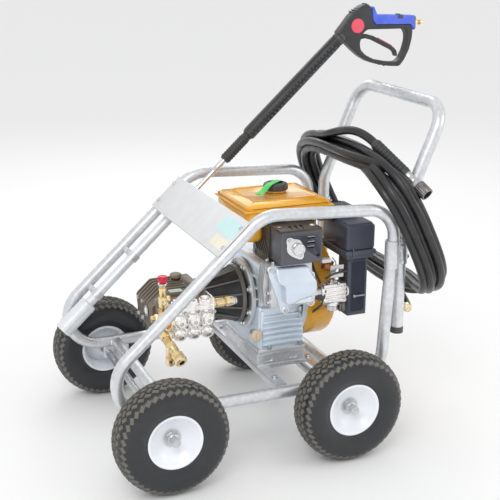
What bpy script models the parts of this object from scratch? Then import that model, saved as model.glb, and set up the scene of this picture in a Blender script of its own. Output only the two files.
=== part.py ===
"""Petrol pressure washer on a four-wheel trolley, as an assembly of separate parts.

Metres, +Z up. The length runs along X, with the pump at -X and the handle at +X. The width is
Y, with the near side at -Y. The datum empty puts the middle of the length at the origin, on
the floor.
"""

import math

import bmesh
import bpy
from mathutils import Matrix, Vector

GAP = 0.0003
FLUSH_OVERLAP = 0.002

# Wheels and axles
TYRE_RADIUS = 0.1325
TYRE_HALF_WIDTH = 0.0425
RIM_RADIUS = 0.0625
RIM_HALF_WIDTH = 0.032
HUB_BORE = 0.0133
AXLE_RADIUS = 0.0095
WHEELBASE = 0.4385
AXLE_END = 0.003
NUT_WIDTH = 0.011
BEARING_INNER = -0.034
BEARING_OUTER = 0.008
RIM_SHEET = 0.003
RIM_WELL = 0.010
HUB_WALL = 0.0045
TYRE_WALL = 0.009
NUT_WALL = 0.0075
NUT_SIDES = 6
BEARING_SIDES = 12
WHEEL_STEPS = 20

# Side hoops
HOOP_TUBE = 0.0145
HOOP_Y = 0.233
WHEEL_CLEARANCE = 0.0445
WHEEL_Y = HOOP_Y + HOOP_TUBE + WHEEL_CLEARANCE
RAIL_Z = 0.164
TOP_Z = 0.5990
TOP_FALL = 0.0485
DIAGONAL_ANGLE = math.radians(42.7)
DIAGONAL_X = -0.300
DIAGONAL_Z = 0.300
UPRIGHT_FOOT_X = 0.3345
UPRIGHT_LEAN = 0.066
FRONT_BEND = 0.080
TOP_BEND = 0.090
REAR_BEND = 0.070
CROSS_TUBE = 0.0135
CROSS_TUBE_SHIFT = {"front": 0.020, "rear": 0.034}

# Handle
HANDLE_TUBE = 0.015
HANDLE_Y = 0.209
HANDLE_FOOT_X = 0.391
HANDLE_FOOT_Z = 0.266
HANDLE_BEND_Z = 0.560
HANDLE_TOP_X = 0.496
HANDLE_TOP_Z = 0.811
HANDLE_LOW_BEND = 0.100
HANDLE_TOP_BEND = 0.062
CLAMP_LOW_Z = 0.440
CLAMP_HIGH_Z = 0.505
CLAMP_WRAP = 0.005

# Deck and panel
DECK_LEFT = 0.066
DECK_RIGHT = 0.224
DECK_TOP = 0.178
DECK_SHEET = 0.006
DECK_BAR_WIDTH = 0.028
DECK_BAR_DROP = 0.014
DECK_PLATE_MARGIN = 0.003
RISER_HEIGHT = 0.034
RISER_MARGIN = 0.004
PANEL_SHEET = 0.003
PANEL_LOW = 0.304
PANEL_HIGH = 0.407

# Engine, with its shaft along X
SHAFT_Z = 0.340
SHAFT_RADIUS = 0.0125
ENGINE_LEFT = 0.070
ENGINE_RIGHT = 0.190
ENGINE_FRONT = -0.105
ENGINE_BACK = 0.110
CRANKCASE_TOP = 0.440
HEAD_FRONT = -0.165
HEAD_LOW = 0.345
HEAD_HIGH = 0.456
WEB_RADIUS = 0.042
FLYWHEEL_RADIUS = 0.100
FLYWHEEL_WIDTH = 0.030
BLOWER_RADIUS = 0.125
BLOWER_WALL = 0.004
BLOWER_DEPTH = 0.090
BLOWER_FLANGE_GAP = 0.002
COVER_THICKNESS = 0.018
COVER_RADIUS = 0.088
VALVE_COVER_DEPTH = 0.034
MUFFLER_LEFT = 0.088
MUFFLER_RIGHT = 0.192
MUFFLER_FRONT = -0.195
MUFFLER_BACK = -0.075
MUFFLER_HIGH = 0.544
OUTLET_RADIUS = 0.024
OUTLET_SHIFT = -0.018
OUTLET_DEPTH = 0.014
TANK_LEFT = 0.035
TANK_RIGHT = 0.265
TANK_FRONT = -0.105
TANK_BACK = 0.105
TANK_LOW = 0.492
TANK_HIGH = 0.590
TANK_CORNER = 0.014
TANK_LEDGE = 0.562
FILLER_X = 0.162
FILLER_Y = 0.015
FILLER_RADIUS = 0.022
FILLER_HEIGHT = 0.008
CAP_RADIUS = 0.030
CAP_HEIGHT = 0.018
CAP_SIDES = 18
AIR_LEFT = 0.270
AIR_RIGHT = 0.348
AIR_FRONT = -0.165
AIR_BACK = -0.030
AIR_HIGH = 0.530
AIR_SPLIT = 0.445
AIR_LOW = 0.300
AIR_INSET = 0.012
CARB_LEFT = 0.214
CARB_LOW = 0.316
CARB_HIGH = 0.388
CARB_FRONT = -0.166
CARB_BACK = -0.128
LEVER_PIVOT_X = 0.240
LEVER_LENGTH = 0.045
LEVER_WIDTH = 0.010
LEVER_SHEET = 0.003
LEVER_PIN = 0.004
LEVER_PIN_SIDES = 8
GRIP_X = 0.245
GRIP_Z = 0.415
GRIP_RADIUS = 0.008
GRIP_LENGTH = 0.090
OIL_CAP_X = 0.060
OIL_CAP_Z = 0.264
OIL_CAP_RADIUS = 0.013
OIL_CAP_LENGTH = 0.016
OIL_BOSS_RADIUS = 0.0155
OIL_BOSS_DEPTH = 0.012
OIL_BOSS_REACH = 0.040

# Pump, on the engine's shaft line
PUMP_LEFT = -0.185
PUMP_RIGHT = -0.052
PUMP_FRONT = -0.050
PUMP_BACK = 0.068
PUMP_LOW = 0.285
PUMP_HIGH = 0.380
BELL_SMALL = 0.048
BELL_LARGE = 0.072
BELL_WALL = 0.006
HEAD_LEFT = -0.152
HEAD_RIGHT = -0.049
PUMP_HEAD_FRONT = -0.118
PUMP_HEAD_LOW = 0.280
PUMP_HEAD_HIGH = 0.372
VALVE_COUNT = 3
VALVE_RADIUS = 0.0125
VALVE_PROUD = 0.016
UNLOADER_X = -0.170
UNLOADER_Y = -0.098
UNLOADER_LOW = 0.326
UNLOADER_HIGH = 0.4235
UNLOADER_RADIUS = 0.0115
KNOB_RADIUS = 0.0115
KNOB_HEIGHT = 0.017
OUTLET_Z = 0.357
OUTLET_LENGTH = 0.062
OUTLET_TUBE = 0.012
INLET_TUBE = 0.0105
INLET_NUT = 0.015
INLET_Y = -0.092
WATER_INLET_STANDOFF = 0.0236
WATER_INLET_RISE = 0.0247

# Lance, its holder and the gun, in the plane y = LANCE_Y
LANCE_Y = 0.195
LANCE_ANGLE = math.radians(42.8)
HOLDER_X = -0.345
HOLDER_Z = 0.2249
CUP_RADIUS = 0.0225
CUP_WALL = 0.003
CUP_LENGTH = 0.095
GUIDE_RADIUS = 0.0125
GUIDE_BORE = 0.0095
GUIDE_END = 0.430
LANCE_TUBE = 0.006
NOZZLE_RADIUS = 0.0085
NOZZLE_START = 0.008
NOZZLE_LENGTH = 0.050
COLLAR_START = 0.600
COLLAR_RADIUS = 0.0135
GRIP_START = 0.690
LANCE_GRIP_RADIUS = 0.0175
NECK_START = 1.042
GUN_HALF_WIDTH = 0.014
COVER_HALF_WIDTH = 0.016
TRIGGER_HALF_WIDTH = 0.005
TRIGGER_SLOT_GAP = 0.0012
TRIGGER_BOSS = 0.009
GUN_REACH = 0.24616
INLET_START = 0.21746
INLET_RISE = 0.0338
INLET_SHOULDER = 0.0105
INLET_SHOULDER_LENGTH = 0.010
INLET_PIPE = 0.0075
INLET_BORE = 0.0040
INLET_BORE_DEPTH = 0.006

# The gun's outlines, as (x, z) offsets from the middle of its neck
TRIGGER_PIVOT = (0.0412, -0.0022)
TRIGGER_SLOT = ((0.0312, -0.0142), (0.0672, 0.0168))
SHELL_OUTLINE = (
    (0.0332, -0.0322),
    (0.0552, -0.0502),
    (0.0812, -0.0642),
    (0.1122, -0.0732),
    (0.1422, -0.0782),
    (0.1752, -0.0802),
    (0.1892, -0.0642),
    (0.2032, -0.0372),
    (0.2102, -0.0102),
    (0.2122, 0.0148),
    (0.2032, 0.0298),
    (0.0972, 0.0318),
    (0.0892, 0.0448),
    (0.0862, 0.0748),
    (0.0752, 0.0858),
    (0.0572, 0.0818),
    (0.0272, 0.0598),
)
SHELL_WINDOW = (
    (0.0752, 0.0198),
    (0.1872, 0.0188),
    (0.1962, 0.0058),
    (0.1972, -0.0122),
    (0.1902, -0.0382),
    (0.1782, -0.0602),
    (0.1672, -0.0682),
    (0.1432, -0.0672),
    (0.0972, -0.0582),
    (0.0722, -0.0462),
    (0.0572, -0.0322),
    (0.0542, -0.0152),
    (0.0612, 0.0078),
)
COVER_OUTLINE = (
    (0.0982, 0.0321),
    (0.2036, 0.0301),
    (0.2135, 0.0148),
    (0.2172, 0.0148),
    (0.2172, 0.0528),
    (0.1272, 0.0568),
    (0.1032, 0.0568),
    (0.0912, 0.0798),
    (0.0869, 0.0753),
    (0.0898, 0.0451),
)
TRIGGER_OUTLINE = (
    (0.0412, 0.0023),
    (0.0752, 0.0068),
    (0.0972, 0.0008),
    (0.1592, -0.0302),
    (0.1692, -0.0402),
    (0.1712, -0.0532),
    (0.1642, -0.0532),
    (0.1592, -0.0412),
    (0.1522, -0.0352),
    (0.0932, -0.0072),
    (0.0742, -0.0022),
    (0.0412, -0.0076),
)

# Hose coil hung over the handle
HOSE_RADIUS = 0.0105
COIL_X = 0.411
COIL_Z = 0.511
COIL_HALF_WIDTH = 0.265
COIL_HALF_HEIGHT = 0.195
COIL_LEAN = math.radians(26)
COIL_SQUARENESS = 3.0
BUNDLE_RADIUS = 0.030
COUPLING_START = (0.360, -0.120, 0.716)
COUPLING_TIP = (0.422, -0.268, 0.617)
SLEEVE_SHARE = 0.62
SLEEVE_RADIUS = 0.0135
FERRULE_SHARE = 0.82
FERRULE_RADIUS = 0.0115
COUPLING_RADIUS = 0.0185
TAIL_START = (0.470, -0.125, 0.285)
TAIL_TIP = (0.432, -0.175, 0.312)
TAIL_RADIUS = 0.0120

CUP_REACH = HOLDER_X - CUP_RADIUS * math.sin(LANCE_ANGLE)
NECK_X = HOLDER_X + NECK_START * math.cos(LANCE_ANGLE)
ORIGIN_X = (NECK_X + GUN_REACH + CUP_REACH) / 2
SIDES = {"near": -1, "far": 1}
ENDS = {"front": -WHEELBASE / 2, "rear": WHEELBASE / 2}


def clear_scene():
    for thing in list(bpy.data.objects):
        bpy.data.objects.remove(thing)


def finish(name, colour, roughness, metallic=0.0):
    made = bpy.data.materials.new(name)
    made.use_nodes = True
    shader = made.node_tree.nodes["Principled BSDF"]
    shader.inputs["Base Color"].default_value = (*colour, 1.0)
    shader.inputs["Roughness"].default_value = roughness
    shader.inputs["Metallic"].default_value = metallic
    return made


def keep(name, bm, made_of):
    """Turns a bmesh into an object under the datum."""
    mesh = bpy.data.meshes.new(name)
    bmesh.ops.recalc_face_normals(bm, faces=bm.faces)
    if bm.calc_volume(signed=True) < 0:
        bmesh.ops.reverse_faces(bm, faces=bm.faces)
    bm.to_mesh(mesh)
    bm.free()
    mesh.materials.append(made_of)
    mesh.shade_smooth()
    mesh.set_sharp_from_angle(angle=math.radians(35))
    made = bpy.data.objects.new(name, mesh)
    bpy.context.collection.objects.link(made)
    made.parent = DATUM
    return made


def helper(made):
    made.hide_render = True
    made.display_type = "WIRE"
    return made


def boolean(target, other, operation):
    step = target.modifiers.new(other.name, "BOOLEAN")
    step.operation = operation
    step.solver = "EXACT"
    step.object = helper(other)


def join(target, *others):
    for other in others:
        boolean(target, other, "UNION")
    return target


def cut(target, *others):
    for other in others:
        boolean(target, other, "DIFFERENCE")
    return target


def block(name, low, high, made_of, bevel=0.0):
    bm = bmesh.new()
    bmesh.ops.create_cube(bm, size=1.0)
    size = Vector(high) - Vector(low)
    middle = (Vector(high) + Vector(low)) / 2
    bmesh.ops.scale(bm, vec=size, verts=bm.verts)
    bmesh.ops.translate(bm, vec=middle, verts=bm.verts)
    made = keep(name, bm, made_of)
    if bevel:
        rounding = made.modifiers.new("rounding", "BEVEL")
        rounding.width = bevel
        rounding.segments = 1
    return made


def turned(name, outline, start, direction, made_of, steps=16):
    """A lathe shape: outline holds (radius, distance along direction) points, as a closed ring
    when no point is on the axis, and as a solid between its two end points on the axis."""
    bm = bmesh.new()
    points = [bm.verts.new((radius, 0, along)) for radius, along in outline]
    on_axis = outline[0][0] == 0
    pairs = list(zip(points, points[1:]))
    if not on_axis:
        pairs.append((points[-1], points[0]))
    edges = [bm.edges.new(pair) for pair in pairs]
    bmesh.ops.spin(
        bm,
        geom=points + edges,
        cent=(0, 0, 0),
        axis=(0, 0, 1),
        angle=2 * math.pi,
        steps=steps,
        use_merge=True,
    )
    bmesh.ops.remove_doubles(bm, verts=bm.verts, dist=1e-6)
    turn = Vector((0, 0, 1)).rotation_difference(Vector(direction)).to_matrix().to_4x4()
    bm.transform(Matrix.Translation(Vector(start)) @ turn)
    return keep(name, bm, made_of)


def round_bore(radius, steps):
    """The corner radius of a many-sided bore whose flats stay clear of a shaft."""
    return (radius + GAP) / math.cos(math.pi / steps)


def rod(name, start, end, radius, made_of, steps=14):
    along = Vector(end) - Vector(start)
    outline = [(0, 0), (radius, 0), (radius, along.length), (0, along.length)]
    return turned(name, outline, start, along.normalized(), made_of, steps)


def plate(name, outline, y_low, y_high, made_of):
    """An outline of (x, z) points, extruded from y_low to y_high."""
    bm = bmesh.new()
    face = bm.faces.new([bm.verts.new((x, y_low, z)) for x, z in outline])
    pulled = bmesh.ops.extrude_face_region(bm, geom=[face])
    moved = [item for item in pulled["geom"] if isinstance(item, bmesh.types.BMVert)]
    bmesh.ops.translate(bm, vec=(0, y_high - y_low, 0), verts=moved)
    return keep(name, bm, made_of)


def rounded(corners, closed, steps=5):
    """The route through (point, bend radius) corners, with each corner as an arc."""
    route = []
    count = len(corners)
    for index, (corner, radius) in enumerate(corners):
        corner = Vector(corner)
        at_end = not closed and index in (0, count - 1)
        if at_end or radius == 0:
            route.append(corner)
            continue
        before = (Vector(corners[index - 1][0]) - corner).normalized()
        after = (Vector(corners[(index + 1) % count][0]) - corner).normalized()
        half = before.angle(after) / 2
        reach = radius / math.tan(half)
        centre = corner + (before + after).normalized() * radius / math.sin(half)
        first = corner + before * reach - centre
        last = corner + after * reach - centre
        sweep = first.angle(last)
        normal = first.cross(last).normalized()
        for step in range(steps + 1):
            turn = Matrix.Rotation(sweep * step / steps, 3, normal)
            route.append(centre + turn @ first)
    return route


def bent_tube(name, route, radius, made_of, closed=False):
    curve = bpy.data.curves.new(name, "CURVE")
    curve.dimensions = "3D"
    curve.bevel_depth = radius
    curve.bevel_resolution = 3
    curve.use_fill_caps = True
    spline = curve.splines.new("POLY")
    spline.points.add(len(route) - 1)
    spline.use_cyclic_u = closed
    for point, place in zip(spline.points, route):
        point.co = (*place, 1.0)
    curve.materials.append(made_of)
    made = bpy.data.objects.new(name, curve)
    bpy.context.collection.objects.link(made)
    made.parent = DATUM
    return made


def upright_x(z):
    return UPRIGHT_FOOT_X + UPRIGHT_LEAN * (z - RAIL_Z)


def handle_x(z):
    """The handle leg's centreline: plumb below its bend, leaning back above it."""
    if z <= HANDLE_BEND_Z:
        return HANDLE_FOOT_X
    lean = (HANDLE_TOP_X - HANDLE_FOOT_X) / (HANDLE_TOP_Z - HANDLE_BEND_Z)
    return HANDLE_FOOT_X + lean * (z - HANDLE_BEND_Z)


def hoop_corners(y):
    """The four corners of a side hoop, where its straight runs meet."""
    slope = math.tan(DIAGONAL_ANGLE)
    base = DIAGONAL_Z - slope * DIAGONAL_X
    front_x = (RAIL_Z - base) / slope
    top_x = (TOP_Z - base) / (slope + TOP_FALL)
    top_z = TOP_Z - TOP_FALL * top_x
    foot_x = UPRIGHT_FOOT_X
    rear_z = (TOP_Z - TOP_FALL * (foot_x - UPRIGHT_LEAN * RAIL_Z)) / (1 + TOP_FALL * UPRIGHT_LEAN)
    return [
        ((front_x, y, RAIL_Z), FRONT_BEND),
        ((top_x, y, top_z), TOP_BEND),
        ((upright_x(rear_z), y, rear_z), REAR_BEND),
        ((foot_x, y, RAIL_Z), REAR_BEND),
    ]


def lance_point(along, across=0.0):
    """A point at a distance along the lance from the holder's floor, and across it, upwards."""
    x = HOLDER_X + along * math.cos(LANCE_ANGLE) - across * math.sin(LANCE_ANGLE)
    z = HOLDER_Z + along * math.sin(LANCE_ANGLE) + across * math.cos(LANCE_ANGLE)
    return Vector((x, LANCE_Y, z))


LANCE_DIRECTION = Vector((math.cos(LANCE_ANGLE), 0, math.sin(LANCE_ANGLE)))


def make_hoops():
    for side, sign in SIDES.items():
        route = rounded(hoop_corners(sign * HOOP_Y), closed=True)
        bent_tube(f"{side}_side_hoop", route, HOOP_TUBE, GALVANISED, closed=True)


def make_axles():
    inner = HOOP_Y - HOOP_TUBE - GAP
    for end, x in ENDS.items():
        tube_x = x + CROSS_TUBE_SHIFT[end]
        rod(
            f"{end}_cross_tube",
            (tube_x, -inner, RAIL_Z),
            (tube_x, inner, RAIL_Z),
            CROSS_TUBE,
            GALVANISED,
        )
        reach = WHEEL_Y + BEARING_OUTER + 2 * GAP + NUT_WIDTH + AXLE_END
        rod(
            f"{end}_axle",
            (x, -reach, TYRE_RADIUS),
            (x, reach, TYRE_RADIUS),
            AXLE_RADIUS,
            BARE_STEEL,
        )


def tyre_outline():
    """The tyre's wall in section: outside from bead to bead, then back along the inside."""
    bead = RIM_RADIUS + GAP
    wide = TYRE_HALF_WIDTH
    side = (bead + TYRE_RADIUS) / 2
    outside = [
        (bead, -RIM_HALF_WIDTH + GAP),
        (side, -wide),
        (TYRE_RADIUS * 0.94, -wide * 0.84),
        (TYRE_RADIUS, -wide * 0.45),
        (TYRE_RADIUS, wide * 0.45),
        (TYRE_RADIUS * 0.94, wide * 0.84),
        (side, wide),
        (bead, RIM_HALF_WIDTH - GAP),
    ]
    wall = TYRE_WALL
    inside = [
        (bead, RIM_HALF_WIDTH - wall),
        (side, wide - wall),
        (TYRE_RADIUS - 1.3 * wall, wide * 0.5),
        (TYRE_RADIUS - 1.3 * wall, -wide * 0.5),
        (side, -wide + wall),
        (bead, -RIM_HALF_WIDTH + wall),
    ]
    return outside + inside


def rim_section():
    """The dished steel rim in section: hub tube, coned disc, barrel and both flanges."""
    sheet = RIM_SHEET
    well = RIM_RADIUS - RIM_WELL
    hub = HUB_BORE + HUB_WALL
    edge = RIM_HALF_WIDTH
    low = BEARING_INNER + sheet
    high = BEARING_OUTER - sheet
    cone = edge - 3 * sheet
    return [
        (HUB_BORE, low),
        (HUB_BORE, high),
        (hub, high),
        (well - sheet, cone),
        (well - sheet, edge - sheet),
        (RIM_RADIUS, edge + sheet),
        (RIM_RADIUS, edge),
        (well, edge - 2 * sheet),
        (well, -edge + 2 * sheet),
        (RIM_RADIUS, -edge),
        (RIM_RADIUS, -edge - sheet),
        (well - sheet, -edge + sheet),
        (well - sheet, cone - sheet),
        (hub, high - sheet),
        (hub, low),
    ]


def make_wheels():
    for end, x in ENDS.items():
        for side, sign in SIDES.items():
            name = f"{side}_{end}"
            centre = (x, sign * WHEEL_Y, TYRE_RADIUS)
            out = (0, sign, 0)
            turned(f"{name}_tyre", tyre_outline(), centre, out, RUBBER, WHEEL_STEPS)
            turned(f"{name}_rim", rim_section(), centre, out, WHITE_PAINT, WHEEL_STEPS)
            bearing = [
                (round_bore(AXLE_RADIUS, BEARING_SIDES), BEARING_INNER),
                (round_bore(AXLE_RADIUS, BEARING_SIDES), BEARING_OUTER),
                (HUB_BORE - GAP, BEARING_OUTER),
                (HUB_BORE - GAP, BEARING_INNER),
            ]
            turned(f"{name}_hub_bearing", bearing, centre, out, BARE_STEEL, BEARING_SIDES)
            start = BEARING_OUTER + 2 * GAP
            nut = [
                (round_bore(AXLE_RADIUS, NUT_SIDES), start),
                (round_bore(AXLE_RADIUS, NUT_SIDES), start + NUT_WIDTH),
                (AXLE_RADIUS + NUT_WALL, start + NUT_WIDTH),
                (AXLE_RADIUS + NUT_WALL, start),
            ]
            turned(f"{name}_axle_nut", nut, centre, out, BARE_STEEL, NUT_SIDES)


def make_handle():
    y = HANDLE_Y
    corners = [
        ((HANDLE_FOOT_X, -y, HANDLE_FOOT_Z), 0),
        ((HANDLE_FOOT_X, -y, HANDLE_BEND_Z), HANDLE_LOW_BEND),
        ((HANDLE_TOP_X, -y, HANDLE_TOP_Z), HANDLE_TOP_BEND),
        ((HANDLE_TOP_X, y, HANDLE_TOP_Z), HANDLE_TOP_BEND),
        ((HANDLE_FOOT_X, y, HANDLE_BEND_Z), HANDLE_LOW_BEND),
        ((HANDLE_FOOT_X, y, HANDLE_FOOT_Z), 0),
    ]
    bent_tube("handle", rounded(corners, closed=False), HANDLE_TUBE, GALVANISED)
    for side, sign in SIDES.items():
        low, high = sorted((sign * (HOOP_Y + CLAMP_WRAP), sign * (HANDLE_Y - CLAMP_WRAP)))
        front = upright_x(CLAMP_LOW_Z) - CLAMP_WRAP
        back = HANDLE_FOOT_X + CLAMP_WRAP
        clamp = block(
            f"{side}_handle_clamp",
            (front, low, CLAMP_LOW_Z),
            (back, high, CLAMP_HIGH_Z),
            BARE_STEEL,
            0.003,
        )
        beyond = 0.05
        upright = rod(
            f"{side}_clamp_upright_cut",
            (upright_x(CLAMP_LOW_Z - beyond), sign * HOOP_Y, CLAMP_LOW_Z - beyond),
            (upright_x(CLAMP_HIGH_Z + beyond), sign * HOOP_Y, CLAMP_HIGH_Z + beyond),
            HOOP_TUBE + 2 * GAP,
            BARE_STEEL,
        )
        leg = rod(
            f"{side}_clamp_leg_cut",
            (HANDLE_FOOT_X, sign * HANDLE_Y, CLAMP_LOW_Z - beyond),
            (HANDLE_FOOT_X, sign * HANDLE_Y, CLAMP_HIGH_Z + beyond),
            HANDLE_TUBE + 2 * GAP,
            BARE_STEEL,
        )
        cut(clamp, upright, leg)


def make_deck():
    inner = HOOP_Y - HOOP_TUBE - GAP
    sheet = block(
        "engine_deck",
        (DECK_LEFT + GAP, ENGINE_FRONT - DECK_PLATE_MARGIN, DECK_TOP - DECK_SHEET),
        (DECK_RIGHT - GAP, ENGINE_BACK + DECK_PLATE_MARGIN, DECK_TOP - GAP),
        GALVANISED,
    )
    for index, x in enumerate((DECK_LEFT, DECK_RIGHT - DECK_BAR_WIDTH)):
        bar = block(
            f"deck_bar_{index}",
            (x, -inner, DECK_TOP - DECK_BAR_DROP - DECK_SHEET),
            (x + DECK_BAR_WIDTH, inner, DECK_TOP),
            GALVANISED,
        )
        join(sheet, bar)
    riser = block(
        "deck_riser",
        (ENGINE_LEFT - RISER_MARGIN, ENGINE_FRONT, DECK_TOP - FLUSH_OVERLAP),
        (ENGINE_RIGHT + RISER_MARGIN, ENGINE_BACK, DECK_TOP + RISER_HEIGHT),
        GALVANISED,
    )
    join(sheet, riser)


def make_panel():
    """The plate across the two diagonals, in line with them and just above the tubes."""
    along = Vector((math.cos(DIAGONAL_ANGLE), 0, math.sin(DIAGONAL_ANGLE)))
    across = Vector((-math.sin(DIAGONAL_ANGLE), 0, math.cos(DIAGONAL_ANGLE)))
    base = Vector((DIAGONAL_X, 0, DIAGONAL_Z)) + across * (HOOP_TUBE + GAP)
    half = HOOP_Y + HOOP_TUBE * 0.6
    bm = bmesh.new()
    bmesh.ops.create_cube(bm, size=1.0)
    bmesh.ops.scale(bm, vec=(PANEL_HIGH - PANEL_LOW, 2 * half, PANEL_SHEET), verts=bm.verts)
    turn = Matrix((along, (0, 1, 0), across)).transposed().to_4x4()
    middle = base + along * (PANEL_LOW + PANEL_HIGH) / 2 + across * PANEL_SHEET / 2
    bm.transform(Matrix.Translation(middle) @ turn)
    keep("label_panel", bm, PANEL_GREY)


def make_holder():
    shoulder = CUP_LENGTH
    outline = [
        (0, 0),
        (CUP_RADIUS, 0),
        (CUP_RADIUS, shoulder),
        (GUIDE_RADIUS, shoulder),
        (GUIDE_RADIUS, GUIDE_END),
        (GUIDE_BORE, GUIDE_END),
        (GUIDE_BORE, shoulder - CUP_WALL),
        (CUP_RADIUS - CUP_WALL, shoulder - CUP_WALL),
        (CUP_RADIUS - CUP_WALL, CUP_WALL),
        (0, CUP_WALL),
    ]
    turned("lance_holder", outline, lance_point(0), LANCE_DIRECTION, GALVANISED, 14)


def make_lance():
    nozzle_end = NOZZLE_START + NOZZLE_LENGTH
    outline = [
        (0, NOZZLE_START),
        (NOZZLE_RADIUS * 0.7, NOZZLE_START),
        (NOZZLE_RADIUS, NOZZLE_START + 0.008),
        (NOZZLE_RADIUS, nozzle_end),
        (LANCE_TUBE, nozzle_end + 0.004),
        (LANCE_TUBE, COLLAR_START - GAP),
        (0, COLLAR_START - GAP),
    ]
    turned("lance_tube", outline, lance_point(0), LANCE_DIRECTION, STAINLESS, 12)
    grip = [
        (0, COLLAR_START),
        (LANCE_TUBE * 1.5, COLLAR_START),
        (COLLAR_RADIUS, COLLAR_START + 0.015),
        (COLLAR_RADIUS, GRIP_START - 0.006),
        (LANCE_GRIP_RADIUS * 0.7, GRIP_START),
        (LANCE_GRIP_RADIUS, GRIP_START),
        (LANCE_GRIP_RADIUS, NECK_START - GAP),
        (0, NECK_START - GAP),
    ]
    turned("lance_grip", grip, lance_point(0), LANCE_DIRECTION, BLACK_PLASTIC, 14)


def from_neck(offsets):
    """Points given as offsets from the middle of the gun's neck, as places in x and z."""
    neck = lance_point(NECK_START)
    return [(neck.x + along, neck.z + rise) for along, rise in offsets]


def make_gun():
    lower = LANCE_Y - GUN_HALF_WIDTH
    upper = LANCE_Y + GUN_HALF_WIDTH
    neck_low = lance_point(NECK_START, -LANCE_GRIP_RADIUS)
    neck_high = lance_point(NECK_START, LANCE_GRIP_RADIUS)
    outline = [(neck_high.x, neck_high.z), (neck_low.x, neck_low.z)] + from_neck(SHELL_OUTLINE)
    shell = plate("gun_shell", outline, lower, upper, BLACK_PLASTIC)
    beyond = 0.01
    inside = from_neck(SHELL_WINDOW)
    window = plate("gun_window", inside, lower - beyond, upper + beyond, BLACK_PLASTIC)
    slot_half = TRIGGER_HALF_WIDTH + TRIGGER_SLOT_GAP
    (slot_left, slot_low), (slot_right, slot_high) = from_neck(TRIGGER_SLOT)
    slot = block(
        "trigger_slot",
        (slot_left, LANCE_Y - slot_half, slot_low),
        (slot_right, LANCE_Y + slot_half, slot_high),
        BLACK_PLASTIC,
    )
    cut(shell, window, slot)
    low = LANCE_Y - COVER_HALF_WIDTH
    high = LANCE_Y + COVER_HALF_WIDTH
    plate("gun_handle_cover", from_neck(COVER_OUTLINE), low, high, BLUE_PLASTIC)
    low = LANCE_Y - TRIGGER_HALF_WIDTH
    high = LANCE_Y + TRIGGER_HALF_WIDTH
    bar = plate("trigger", from_neck(TRIGGER_OUTLINE), low, high, BLACK_PLASTIC)
    pivot_x, pivot_z = from_neck([TRIGGER_PIVOT])[0]
    boss = rod(
        "trigger_boss",
        (pivot_x, low, pivot_z),
        (pivot_x, high, pivot_z),
        TRIGGER_BOSS,
        BLACK_PLASTIC,
        10,
    )
    join(bar, boss)
    length = GUN_REACH - INLET_START
    inlet = [
        (0, 0),
        (INLET_SHOULDER, 0),
        (INLET_SHOULDER, INLET_SHOULDER_LENGTH),
        (INLET_PIPE, INLET_SHOULDER_LENGTH + 0.001),
        (INLET_PIPE, length),
        (INLET_BORE, length),
        (INLET_BORE, INLET_BORE_DEPTH),
        (0, INLET_BORE_DEPTH),
    ]
    start_x, start_z = from_neck([(INLET_START, INLET_RISE)])[0]
    turned("gun_inlet", inlet, (start_x, LANCE_Y, start_z), (1, 0, 0), BRASS, 12)


def make_crankcase():
    base = DECK_TOP + RISER_HEIGHT + GAP
    case = block(
        "crankcase",
        (ENGINE_LEFT, ENGINE_FRONT, base),
        (ENGINE_RIGHT, ENGINE_BACK, CRANKCASE_TOP),
        CAST_ALUMINIUM,
        0.006,
    )
    cylinder = block(
        "cylinder_block",
        (ENGINE_LEFT + 0.006, HEAD_FRONT, HEAD_LOW),
        (ENGINE_RIGHT - 0.012, ENGINE_FRONT + 0.02, HEAD_HIGH),
        CAST_ALUMINIUM,
    )
    neck = rod(
        "oil_filler_neck",
        (OIL_CAP_X, ENGINE_FRONT, OIL_CAP_Z),
        (OIL_CAP_X, ENGINE_FRONT + OIL_BOSS_DEPTH, OIL_CAP_Z),
        OIL_BOSS_RADIUS,
        CAST_ALUMINIUM,
    )
    inset = 0.002
    half = OIL_BOSS_RADIUS * 0.7
    front = ENGINE_FRONT + inset
    back = ENGINE_FRONT + OIL_BOSS_DEPTH - inset
    arm = block(
        "oil_filler_arm",
        (OIL_CAP_X, front, OIL_CAP_Z - half),
        (OIL_CAP_X + OIL_BOSS_REACH, back, OIL_CAP_Z + half),
        CAST_ALUMINIUM,
    )
    join(case, cylinder, neck, arm)
    bore = rod(
        "shaft_bore",
        (ENGINE_LEFT - 0.02, 0, SHAFT_Z),
        (ENGINE_RIGHT + 0.02, 0, SHAFT_Z),
        SHAFT_RADIUS + 2 * GAP,
        CAST_ALUMINIUM,
    )
    web_room = 0.003
    middle = (ENGINE_LEFT + ENGINE_RIGHT) / 2
    chamber = rod(
        "crank_chamber",
        (middle - 0.030, 0, SHAFT_Z),
        (middle + 0.030, 0, SHAFT_Z),
        WEB_RADIUS + web_room,
        CAST_ALUMINIUM,
    )
    cut(case, chamber, bore)
    cover = [
        (SHAFT_RADIUS + 2 * GAP, 0),
        (COVER_RADIUS, 0),
        (COVER_RADIUS, COVER_THICKNESS - GAP),
        (SHAFT_RADIUS + 2 * GAP, COVER_THICKNESS - GAP),
    ]
    start = (ENGINE_LEFT - COVER_THICKNESS, 0, SHAFT_Z)
    turned("crankcase_cover", cover, start, (1, 0, 0), CAST_ALUMINIUM, 20)
    block(
        "valve_cover",
        (ENGINE_LEFT + 0.008, HEAD_FRONT - VALVE_COVER_DEPTH, HEAD_LOW + 0.006),
        (ENGINE_RIGHT - 0.014, HEAD_FRONT - GAP, HEAD_HIGH - 0.003),
        SILVER_PAINT,
        0.010,
    )
    rod(
        "oil_filler_cap",
        (OIL_CAP_X, ENGINE_FRONT - GAP, OIL_CAP_Z),
        (OIL_CAP_X, ENGINE_FRONT - OIL_CAP_LENGTH, OIL_CAP_Z),
        OIL_CAP_RADIUS,
        CREAM_PLASTIC,
    )


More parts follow.
